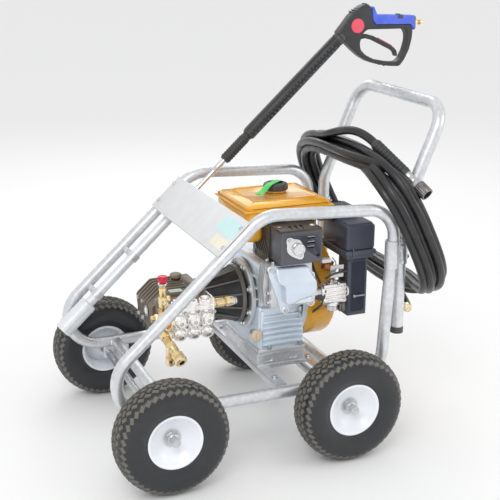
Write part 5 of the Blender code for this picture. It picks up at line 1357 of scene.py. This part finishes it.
def fitTheLance():
    ahead = laneOf().to_3x3() @ up
    nozzle = turned([(0.0030, 0.0150), (0.0030, 0.0085), (0.0050, 0.0080), (0.0066, 0.0090), (0.0068, 0.0180), (0.0082, 0.0200),
                     (0.0085, 0.0215), (0.0085, 0.0300), (0.0076, 0.0310), (0.0076, 0.0330), (0.0085, 0.0340), (0.0085, 0.0560),
                     (0.0074, 0.0580), (0.0062, 0.0590)], lancePoint(0), ahead, 36)
    pipe = turned([(0.0060, 0.0570), (0.0060, lance["collar"][0] - 0.0006)], lancePoint(0), ahead, 36)
    band = turned([(0.0064, 0.562), (0.0074, 0.5635), (0.0074, 0.5900), (0.0066, 0.5940)], lancePoint(0), ahead, 36)
    handedOver(joined(pipe, nozzle, band), "lance_pipe", "lance_and_gun", stainless, ("lance_tube",))
    low, high = lance["collar"]
    collar = turned([(r, low + s) for r, s in ribbedSleeve(high - low, 0.0132, 9, 0.0009)], lancePoint(0), ahead, 40)
    start, end = lance["grip"]
    r = lance["gripRadius"] - 0.0012
    grip = turned([(r * 0.74, start - 0.0060), (r * 0.80, start - 0.001), (r * 0.98, start + 0.001), (r, start + 0.006), (r, end - 0.012),
                   (r * 1.05, end - 0.010), (r * 1.05, end - 0.0015), (r * 0.98, end)], lancePoint(0), ahead, 48)
    pads = []
    count = 26
    for index in range(count):
        s = start + 0.014 + index * (end - start - 0.034) / count
        for side in (-1, 1):
            for lift in (-1, 1):
                pad = block((-0.0034 + lift * 0.0066, -0.0016, -0.0020), (0.0034 + lift * 0.0066, 0.0018, 0.0020), 0.0008, 1)
                bend = Matrix.Rotation(math.radians(24 * lift * side), 4, "Z")
                slant = Matrix.Rotation(math.radians(28 * side), 4, "Y")
                pad.data.transform(laneOf() @ Matrix.Translation((0, side * r * 0.985 - side * 0.0016 * 0.5, s)) @ bend @ slant)
                pads.append(pad)
    spine = block((-r - 0.0010, -0.0055, start + 0.004), (-r + 0.004, 0.0055, end - 0.014), 0.0016, 3)
    belly = block((r - 0.004, -0.0045, start + 0.004), (r + 0.0008, 0.0045, end - 0.014), 0.0016, 3)
    for bit in (spine, belly):
        bit.data.transform(laneOf())
    handedOver(joined(collar, grip, spine, belly, *pads), "lance_hand_grip", "lance_and_gun", blackPlastic,
               ("lance_grip",))


gun = {
    "half": 0.014, "coverHalf": 0.016, "triggerHalf": 0.005, "pivot": (0.0412, -0.0022),
    "shell": ((0.0332, -0.0322), (0.0552, -0.0502), (0.0812, -0.0642), (0.1122, -0.0732), (0.1422, -0.0782), (0.1752, -0.0802),
              (0.1892, -0.0642), (0.2032, -0.0372), (0.2102, -0.0102), (0.2122, 0.0148), (0.2032, 0.0298), (0.0972, 0.0318),
              (0.0892, 0.0448), (0.0862, 0.0748), (0.0752, 0.0858), (0.0572, 0.0818), (0.0272, 0.0598)),
    "window": ((0.0752, 0.0198), (0.1872, 0.0188), (0.1962, 0.0058), (0.1972, -0.0122), (0.1902, -0.0382), (0.1782, -0.0602),
               (0.1672, -0.0682), (0.1432, -0.0672), (0.0972, -0.0582), (0.0722, -0.0462), (0.0572, -0.0322), (0.0542, -0.0152),
               (0.0612, 0.0078)),
    "cover": ((0.0982, 0.0321), (0.2036, 0.0301), (0.2135, 0.0148), (0.2172, 0.0148), (0.2172, 0.0528), (0.1272, 0.0568),
              (0.1032, 0.0568), (0.0912, 0.0798), (0.0869, 0.0753), (0.0898, 0.0451)),
    "trigger": ((0.0412, 0.0035), (0.0752, 0.0080), (0.0976, 0.0020), (0.1598, -0.0292), (0.1704, -0.0398), (0.1724, -0.0536),
                (0.1632, -0.0536), (0.1582, -0.0418), (0.1514, -0.0362), (0.0928, -0.0086), (0.0742, -0.0036), (0.0412, -0.0088)),
}


def mouldTheGun():
    y = lance["y"]
    neck = lance["grip"][1] + 0.0003
    low = lancePoint(neck, -0.0175)
    high = lancePoint(neck, 0.0175)
    outline = softened([(high.x, high.z), (low.x, low.z), *gunOutline(gun["shell"])], 0.006, 3)
    window = softened(gunOutline(gun["window"]), 0.006, 3)
    shell = sheetFrom(outline, y - gun["half"], y + gun["half"], 0.0032, 3, (window,))
    (slotLeft, slotLow), (slotRight, slotHigh) = gunOutline(((0.0312, -0.0142), (0.0680, 0.0168)))
    cutBy(shell, block((slotLeft, y - 0.0062, slotLow), (slotRight, y + 0.0062, slotHigh), 0.0006, 1))
    ribs = []
    for index in range(6):
        (x, z), = gunOutline([(0.0330 + index * 0.0078, 0.0640 + index * 0.0038)])
        rib = block((-0.0016, -0.0125, -0.0060), (0.0016, 0.0125, 0.0042), 0.0009, 2)
        rib.data.transform(Matrix.Translation((x, y, z)) @ Matrix.Rotation(math.radians(-26), 4, "Y"))
        ribs.append(rib)
    seam = sheetFrom([(x, z) for x, z in outline], y - 0.0010, y + 0.0010, 0.0003, 1, (window,))
    for vertex in seam.data.vertices:
        vertex.co.y = y + (vertex.co.y - y)
    neckRing = turned([(0.0150, 0), (0.0166, 0.0008), (0.0166, 0.0080), (0.0140, 0.0100)], lancePoint(neck),
                      laneOf().to_3x3() @ up, 40)
    bosses = []
    for along, rise in ((0.0560, -0.0410), (0.1270, -0.0735), (0.1985, -0.0330), (0.0300, 0.0330)):
        (x, z), = gunOutline([(along, rise)])
        for side in (-1, 1):
            bosses.append(turned([(0.0040, -0.001), (0.0040, 0.0006), (0.0026, 0.0010), (0.0026, 0.0002), (0.0006, 0.0001)],
                                 (x, y + side * gun["half"], z), (0, side, 0), 20))
    handedOver(joined(shell, seam, neckRing, *ribs, *bosses), "gun_body", "lance_and_gun", blackPlastic,
               ("gun_shell",), 40)
    cover = sheetFrom(softened(gunOutline(gun["cover"]), 0.003, 3), y - gun["coverHalf"], y + gun["coverHalf"], 0.0030, 3)
    handedOver(cover, "gun_blue_shell", "lance_and_gun", blueShell, ("gun_handle_cover",), 40)
    (x, z), = gunOutline([(0.2172, 0.0338)])
    cap = block((x - 0.0030, y - 0.0152, z - 0.0165), (x + 0.0015, y + 0.0152, z + 0.0165), 0.0014, 2)
    (cx, cz), = gunOutline([(0.1720, 0.0540)])
    clip = block((cx - 0.0090, y - 0.0175, cz - 0.0080), (cx + 0.0060, y - 0.0145, cz + 0.0020), 0.0012, 2)
    latch = block((cx - 0.0060, y - 0.0060, cz - 0.0020), (cx + 0.0050, y + 0.0060, cz + 0.0035), 0.0012, 2)
    handedOver(joined(cap, clip, latch), "gun_clips", "lance_and_gun", blackPlastic)
    (x, z), = gunOutline([(0.0452, 0.0300)])
    button = turned([(0.0188, 0), (0.0188, 0.0020), (0.0174, 0.0034), (0.0120, 0.0040), (0.0050, 0.0042)],
                    (x, y - gun["half"] + 0.0010, z), -sideways, 48)
    far = turned([(0.0188, 0), (0.0188, 0.0020), (0.0174, 0.0034), (0.0120, 0.0040), (0.0050, 0.0042)],
                 (x, y + gun["half"] - 0.0010, z), sideways, 48)
    handedOver(joined(button, far), "gun_badge", "lance_and_gun", pinkButton)
    inletLow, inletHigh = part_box("gun_inlet")
    middle = (inletLow + inletHigh) / 2
    length = inletHigh.x - inletLow.x
    inlet = turned([(0.0090, 0.0002), (0.0105, 0.0006), (0.0105, 0.0092), (0.0094, 0.0100), (0.0074, 0.0104), (0.0074, 0.0130),
                    (0.0068, 0.0134), (0.0074, 0.0140), (0.0068, 0.0156), (0.0074, 0.0162), (0.0068, 0.0178), (0.0074, 0.0184),
                    (0.0068, 0.0200), (0.0074, 0.0206), (0.0066, length - 0.002), (0.0060, length), (0.0042, length), (0.0040, 0.0080)],
                   (inletLow.x, middle.y, middle.z), forwards, 36)
    handedOver(inlet, "gun_inlet_nipple", "lance_and_gun", brass, ("gun_inlet",))
    lever = sheetFrom(softened(gunOutline(gun["trigger"]), 0.0030, 3), y - gun["triggerHalf"], y + gun["triggerHalf"], 0.0014, 3)
    (x, z), = gunOutline([gun["pivot"]])
    boss = turned([(0.0080, 0), (0.0088, 0.0008), (0.0088, 0.0092), (0.0080, 0.0100)], (x, y - 0.0050, z), sideways, 36)
    handedOver(joined(lever, boss), "trigger_lever", "gun_trigger", blackPlastic, ("trigger",), 40)
    (x0, z0), (x1, z1) = gunOutline([(0.1120, -0.0050), (0.1560, -0.0272)])
    stripe = tube([Vector((x0, y, z0)), Vector((x0, y, z0)).lerp(Vector((x1, y, z1)), 0.5), Vector((x1, y, z1))], 0.0026, roundness=3)
    handedOver(stripe, "trigger_stripe", "gun_trigger", redKnob)


# pump, fittings and bell

pump = {
    "left": -0.185, "right": -0.052, "front": -0.050, "back": 0.068, "low": 0.285, "high": 0.380, "shaftZ": 0.340,
    "headLeft": -0.152, "headRight": -0.049, "headFront": -0.118, "headLow": 0.280, "headHigh": 0.372,
    "columns": (-0.1345, -0.1005, -0.0665),
}


def castThePump():
    p = pump
    outline = softened([(p["left"] + 0.004, p["low"]), (p["right"], p["low"]), (p["right"], p["high"] + 0.003),
                        (p["right"] - 0.020, p["high"] + 0.003), (p["right"] - 0.030, p["high"] - 0.002),
                        (p["left"] + 0.034, p["high"] - 0.002), (p["left"] + 0.0005, p["high"] - 0.030),
                        (p["left"] + 0.0005, p["low"] + 0.020)], 0.006, 4)
    body = sheetFrom([(axleMiddle + x, z) for x, z in outline], p["front"], p["back"], 0.0050, 3)
    fins = []
    for index in range(6):
        y = p["front"] + 0.030 + index * 0.0160
        ring = softened([(p["left"] + 0.002, p["low"] + 0.012), (p["left"] + 0.030, p["low"] + 0.012),
                         (p["left"] + 0.060, p["high"] - 0.006), (p["right"] - 0.034, p["high"] - 0.006),
                         (p["right"] - 0.034, p["high"] + 0.0022), (p["left"] + 0.032, p["high"] + 0.0022),
                         (p["left"] - 0.0030, p["high"] - 0.030)], 0.005, 3)
        fins.append(sheetFrom([(axleMiddle + x, z) for x, z in ring], y, y + 0.0036, 0.0010, 1))
    plate = block(at(p["left"] + 0.010, p["front"] - 0.0018, p["low"] + 0.012), at(p["right"] - 0.012, p["front"] + 0.006, p["high"] - 0.012), 0.004, 2)
    filler = turned([(0.0150, -0.004), (0.0150, 0.004), (0.0120, 0.005), (0.0120, 0.010), (0.0145, 0.011), (0.0145, 0.0175),
                     (0.0120, 0.0195)], at(-0.096, 0.030, p["high"] - 0.001), up, 32)
    handedOver(joined(body, plate, filler, *fins), "pump_body", "trolley", pumpBrown, ("pump_crankcase",))
    sight = turned([(0.0125, 0), (0.0130, 0.0016), (0.0118, 0.0034), (0.0092, 0.0036), (0.0088, 0.0020)],
                   at(p["left"] - 0.0002, -0.016, 0.330), -forwards, 36)
    handedOver(sight, "oil_sight_ring", "trolley", zincPlate)
    # The lens is coloured near-white as a painted highlight on the pump's left face.
    lens = turned([(0.0090, 0), (0.0088, 0.0016), (0.0060, 0.0032), (0.0020, 0.0038)], at(p["left"] - 0.0014, -0.016, 0.330), -forwards, 32)
    handedOver(lens, "oil_sight_lens", "trolley", layered("sight_lens_painted_highlight", ((0.90, 0.90, 0.86), (0.80, 0.82, 0.76)), (0.08, 0.16), grain=20))
    tag = block(at(-0.135, -0.046, p["high"] - 0.0024), at(-0.103, -0.026, p["high"] - 0.0012), 0.0005, 1)
    handedOver(tag, "pump_plate", "trolley", layered("plate_green", ((0.36, 0.55, 0.46), (0.80, 0.84, 0.80)), (0.3, 0.4), grain=55))
    places = [(at(x, p["front"] - 0.0018, z), -sideways) for x in (p["left"] + 0.020,) for z in (p["low"] + 0.022, p["high"] - 0.040)]
    places += [(at(p["left"] + 0.0003, y, z), -forwards) for y in (0.016, 0.050) for z in (0.302, 0.343)]
    handedOver(boltsAt(places, 0.0048, 0.0042), "pump_bolts", "trolley", zincPlate)


def castThePumpHead():
    """Three-cylinder manifold: upright caps above, hexagon plugs in front, round caps below."""
    p = pump
    block1 = block(at(p["headLeft"], -0.108, 0.292), at(p["headRight"], -0.0503, 0.360), 0.005, 3)
    lower = block(at(p["headLeft"] + 0.002, -0.1150, 0.2860), at(p["headRight"] - 0.002, -0.064, 0.322), 0.006, 3)
    flange = block(at(-0.0535, -0.1165, 0.322), at(p["headRight"] + 0.0002, -0.062, 0.3775), 0.0020, 2)
    foot = block(at(p["headLeft"], -0.100, 0.282), at(p["headRight"], -0.0503, 0.294), 0.003, 2)
    bits = [block1, lower, flange, foot]
    for x in p["columns"]:
        bits.append(turned([(0.0152, 0), (0.0152, 0.0240), (0.0142, 0.0256), (0.0110, 0.0260)], at(x, -0.0955, 0.3455), up, 36))
        bits.append(turned([(0.0165, 0), (0.0165, 0.0050), (0.0152, 0.0062)], at(x, -0.0955, 0.3435), up, 36))
        bits.append(turned([(0.0160, 0), (0.0160, 0.0080), (0.0150, 0.0092)], at(x, -0.1080, 0.3260), -sideways, 36))
        slope = Vector((0, -0.86, -0.51)).normalized()
        bits.append(turned([(0.0165, 0), (0.0165, 0.0110), (0.0150, 0.0135), (0.0100, 0.0142)], at(x, -0.1080, 0.2985), slope, 36))
    handedOver(joined(*bits), "pump_manifold", "trolley", nickel, ("pump_head",))
    caps = []
    for x in p["columns"]:
        hexagon = bevelled(turned([(0.0134, 0), (0.0134, 0.0092)], at(x, -0.1172, 0.3260), -sideways, 6), 0.0012, 2, 20)
        caps.append(hexagon)
        caps.append(turned([(0.0090, 0), (0.0086, 0.0014), (0.0050, 0.0018), (0.0044, 0.0004)], at(x, -0.1264, 0.3260), -sideways, 28))
        caps.append(bevelled(turned([(0.0106, 0), (0.0106, 0.0052)], at(x, -0.0955, 0.3713), up, 6), 0.0010, 2, 20))
        slope = Vector((0, -0.86, -0.51)).normalized()
        caps.append(turned([(0.0120, 0), (0.0120, 0.0030), (0.0096, 0.0042), (0.0060, 0.0030), (0.0056, 0.0010)],
                           at(x, -0.1080, 0.2985) + slope * 0.0140, slope, 32))
    handedOver(joined(*caps), "pump_valve_plugs", "trolley", nickel)
    sockets = []
    for x in (-0.1515, -0.1175, -0.0835, -0.0500):
        for z in (0.3130, 0.3430):
            if z > 0.33 and x < -0.15:
                continue
            head = turned([(0.0048, 0), (0.0050, 0.0008), (0.0050, 0.0048), (0.0044, 0.0056)], at(x, -0.1120, z), -sideways, 24)
            key = turned([(0.0026, 0.0030), (0.0026, 0.02)], at(x, -0.1120, z), -sideways, 6)
            sockets.append(cutBy(head, key))
    handedOver(joined(*sockets), "pump_head_screws", "trolley", zincPlate)
    ring = turned([(0.0088, 0), (0.0118, 0.0002), (0.0122, 0.0030), (0.0112, 0.0060), (0.0092, 0.0062)],
                  at(-0.1540, -0.1040, 0.3220), -forwards + Vector((0, -0.55, 0.05)), 32, hollow=True)
    handedOver(ring, "inlet_port_ring", "trolley", brass)
    seal = turned([(0.0090, 0), (0.0090, 0.0030), (0.0060, 0.0036)], at(-0.1540, -0.1040, 0.3220), -forwards + Vector((0, -0.55, 0.05)), 28)
    handedOver(seal, "inlet_port_seal", "trolley", layered("seal_orange", ((0.80, 0.26, 0.02), (0.66, 0.18, 0.01)), (0.35, 0.5)))


def plumbThePump():
    knobLow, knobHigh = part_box("unloader_knob")
    x, y = (knobLow.x + knobHigh.x) / 2, (knobLow.y + knobHigh.y) / 2
    column = turned([(0.0112, 0.3262), (0.0115, 0.3280), (0.0115, 0.3520), (0.0098, 0.3540), (0.0098, 0.3640), (0.0112, 0.3660),
                     (0.0112, 0.3880), (0.0084, 0.3905), (0.0084, 0.3930), (0.0092, 0.3945), (0.0092, 0.4110), (0.0080, 0.4120),
                     (0.0080, 0.4180), (0.0074, 0.4190)], (x, y, 0), up, 36)
    arm = turned([(0.0100, 0), (0.0100, 0.0150), (0.0088, 0.0160)], (x - 0.001, y, 0.3470), forwards, 32)
    stub = bevelled(turned([(0.0106, 0), (0.0106, 0.0110)], (x - 0.020, y, 0.3380), forwards, 6), 0.0010, 2, 20)
    nipple = turned([(0.0070, 0), (0.0074, 0.0016), (0.0074, 0.0080), (0.0090, 0.0090), (0.0090, 0.0200)], (x - 0.030, y, 0.3380), forwards, 28)
    hexagon = bevelled(turned([(0.0128, 0.3700), (0.0128, 0.3790)], (x, y, 0), up, 6), 0.0010, 2, 20)
    side = turned([(0.0062, 0), (0.0066, 0.0100), (0.0050, 0.0120)], (x + 0.006, y, 0.3850), Vector((0.8, -0.6, 0)), 24)
    handedOver(joined(column, arm, stub, nipple, hexagon, side), "unloader_valve", "trolley", brass, ("unloader_body",))
    washer = turned([(0.0076, 0.4176), (0.0104, 0.4178), (0.0112, 0.4200), (0.0104, 0.4226), (0.0074, 0.4231)], (x, y, 0), up, 36)
    handedOver(washer, "unloader_collar", "trolley", stainless)
    height = knobHigh.z - knobLow.z
    knob = turned([(0.0072, 0.0002), (0.0088, 0.0010), (0.0100, 0.0040), (0.0106, 0.0056), (0.0106, height * 0.82),
                   (0.0098, height * 0.94), (0.0066, height)], (x, y, knobLow.z), up, 48)
    flutes = []
    for index in range(16):
        flute = turned([(0.0010, 0.0056), (0.0010, height * 0.84)], (0.0105, 0, 0), up, 10)
        flute.data.transform(Matrix.Translation((x, y, knobLow.z)) @ Matrix.Rotation(2 * math.pi * index / 16, 4, "Z"))
        flutes.append(flute)
    mark = block((x - 0.0075, y - 0.0010, knobHigh.z - 0.0012), (x + 0.0010, y + 0.0010, knobHigh.z - 0.0001), 0.0003, 1)
    handedOver(joined(knob, mark, *flutes), "pressure_knob_grip", "pressure_knob", redKnob, ("unloader_knob",))
    low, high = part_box("outlet_fitting")
    length = high.x - low.x
    middle = (low + high) / 2
    outlet = turned([(0.0108, 0.0006), (0.0112, 0.0020), (0.0112, 0.0060), (0.0096, 0.0075), (0.0108, 0.0090), (0.0108, 0.0280),
                     (0.0098, 0.0290), (0.0098, 0.0330), (0.0112, 0.0340), (0.0112, 0.0500), (0.0100, 0.0510)],
                    (low.x, middle.y, middle.z), forwards, 36)
    nut = bevelled(turned([(0.0122, 0.0340), (0.0122, 0.0480)], (low.x, middle.y, middle.z), forwards, 6), 0.0010, 2, 20)
    handedOver(joined(outlet, nut), "pump_outlet", "trolley", brass, ("outlet_fitting",))
    tip = turned([(0.0092, 0.0500), (0.0098, 0.0510), (0.0098, 0.0560), (0.0084, 0.0575), (0.0086, length - 0.001), (0.0070, length)],
                 (low.x, middle.y, middle.z), forwards, 36)
    bore = turned([(0.0045, length - 0.008), (0.0045, length + 0.01)], (low.x, middle.y, middle.z), forwards, 24)
    handedOver(cutBy(tip, bore), "outlet_tip", "trolley", stainless)
    start = at(-0.1756, -0.092, 0.3047)
    elbow = start + Vector((0.008, -0.048, -0.030))
    end = elbow + Vector((0.014, -0.036, -0.020))
    along = (end - start).normalized()
    knee = (elbow - start).length
    reach = (end - start).length
    pipe = turned([(0.0090, -0.006), (0.0104, -0.002), (0.0104, 0.012), (0.0120, 0.014), (0.0120, 0.026), (0.0102, 0.028),
                   (0.0102, knee - 0.014), (0.0118, knee - 0.010), (0.0118, knee + 0.010), (0.0104, knee + 0.012),
                   (0.0104, reach - 0.022)], start, along, 36)
    swivel = turned([(0.0126, reach - 0.0230), (0.0140, reach - 0.0215), (0.0140, reach - 0.0080), (0.0148, reach - 0.0060),
                     (0.0148, reach + 0.0020), (0.0130, reach + 0.0036)], start, along, 40)
    hexagon = bevelled(turned([(0.0156, reach - 0.0200), (0.0156, reach - 0.0090)], start, along, 6), 0.0012, 2, 20)
    hole = turned([(0.0072, reach - 0.012), (0.0072, reach + 0.02)], start, along, 28)
    joint = cutBy(joined(swivel, hexagon), hole)
    drop = turned([(0.0104, 0.006), (0.0104, -0.020), (0.0116, -0.022), (0.0116, -0.036), (0.0100, -0.040)], elbow, up, 36)
    arm = turned([(0.0092, 0), (0.0092, 0.0225)], (start.x, start.y, start.z), forwards, 28)
    handedOver(joined(pipe, joint, drop, arm), "water_inlet", "trolley", brass, ("inlet_fitting",))
    plug = turned([(0.0070, reach - 0.0118), (0.0068, reach - 0.0100), (0.0030, reach - 0.0096)], start, along, 24)
    handedOver(plug, "inlet_screen", "trolley", blackPlastic)


def castTheBell():
    low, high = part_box("bell_housing")
    length = high.x - low.x
    seat = Vector((low.x, 0, pump["shaftZ"]))
    shell = turned([(0.0165, 0), (0.0470, 0), (0.0480, 0.0012), (0.0480, 0.0100), (0.0440, 0.0120), (0.0450, length * 0.28),
                    (0.0680, length - 0.0120), (0.0718, length - 0.0105), (0.0718, length - 0.0010), (0.0710, length), (0.0660, length),
                    (0.0640, length - 0.006), (0.0420, length * 0.32), (0.0400, 0.0090), (0.0165, 0.0085)], seat, forwards, 72, hollow=True)
    bits = [shell]
    for index in range(12):
        rib = sheetFrom([(0.0090, 0.0420), (length - 0.0080, 0.0640), (length - 0.0080, 0.0705), (0.0090, 0.0465)], -0.0018, 0.0018, 0.0006, 1)
        rib.data.transform(Matrix.Translation(seat) @ Matrix.Rotation(2 * math.pi * (index + 0.5) / 12, 4, "X"))
        bits.append(rib)
    handedOver(joined(*bits), "bell_casting", "trolley", bellPaint, ("bell_housing",))
    places = []
    for index in range(4):
        angle = math.radians(45 + 90 * index)
        places.append((seat + Vector((length - 0.0120, 0.0625 * math.cos(angle), 0.0625 * math.sin(angle))), -forwards))
    handedOver(boltsAt(places, 0.0046, 0.0044), "bell_bolts", "trolley", zincPlate)


setTheView()
setTheStudio()
hosePiece, hoseRoute, hoseLength = hangTheHose()
endPieces = fitTheHoseEnds()
print("hose hung")
buildTheFrame()
bendTheHandle()
clampTheHandle()
print("frame bent and clamped")
mountTheWheels()
print("wheels mounted")
castTheCrankcase()
castTheHead()
pressTheValveCover()
coverTheCrankcase()
turnTheShafts()
coverTheFlywheel()
capTheOilFiller()
print("engine cast")
pressTheTank()
bracketTheTank()
shieldTheMuffler()
fitTheOutlet()
boxTheAirCleaner()
fitTheCarburettor()
print("engine dressed")
weldTheDeck()
foldThePanel()
weldTheHolder()
print("deck, panel and holder fitted")
fitTheLance()
mouldTheGun()
print("gun moulded")
castThePump()
castThePumpHead()
plumbThePump()
castTheBell()
print("pump plumbed")
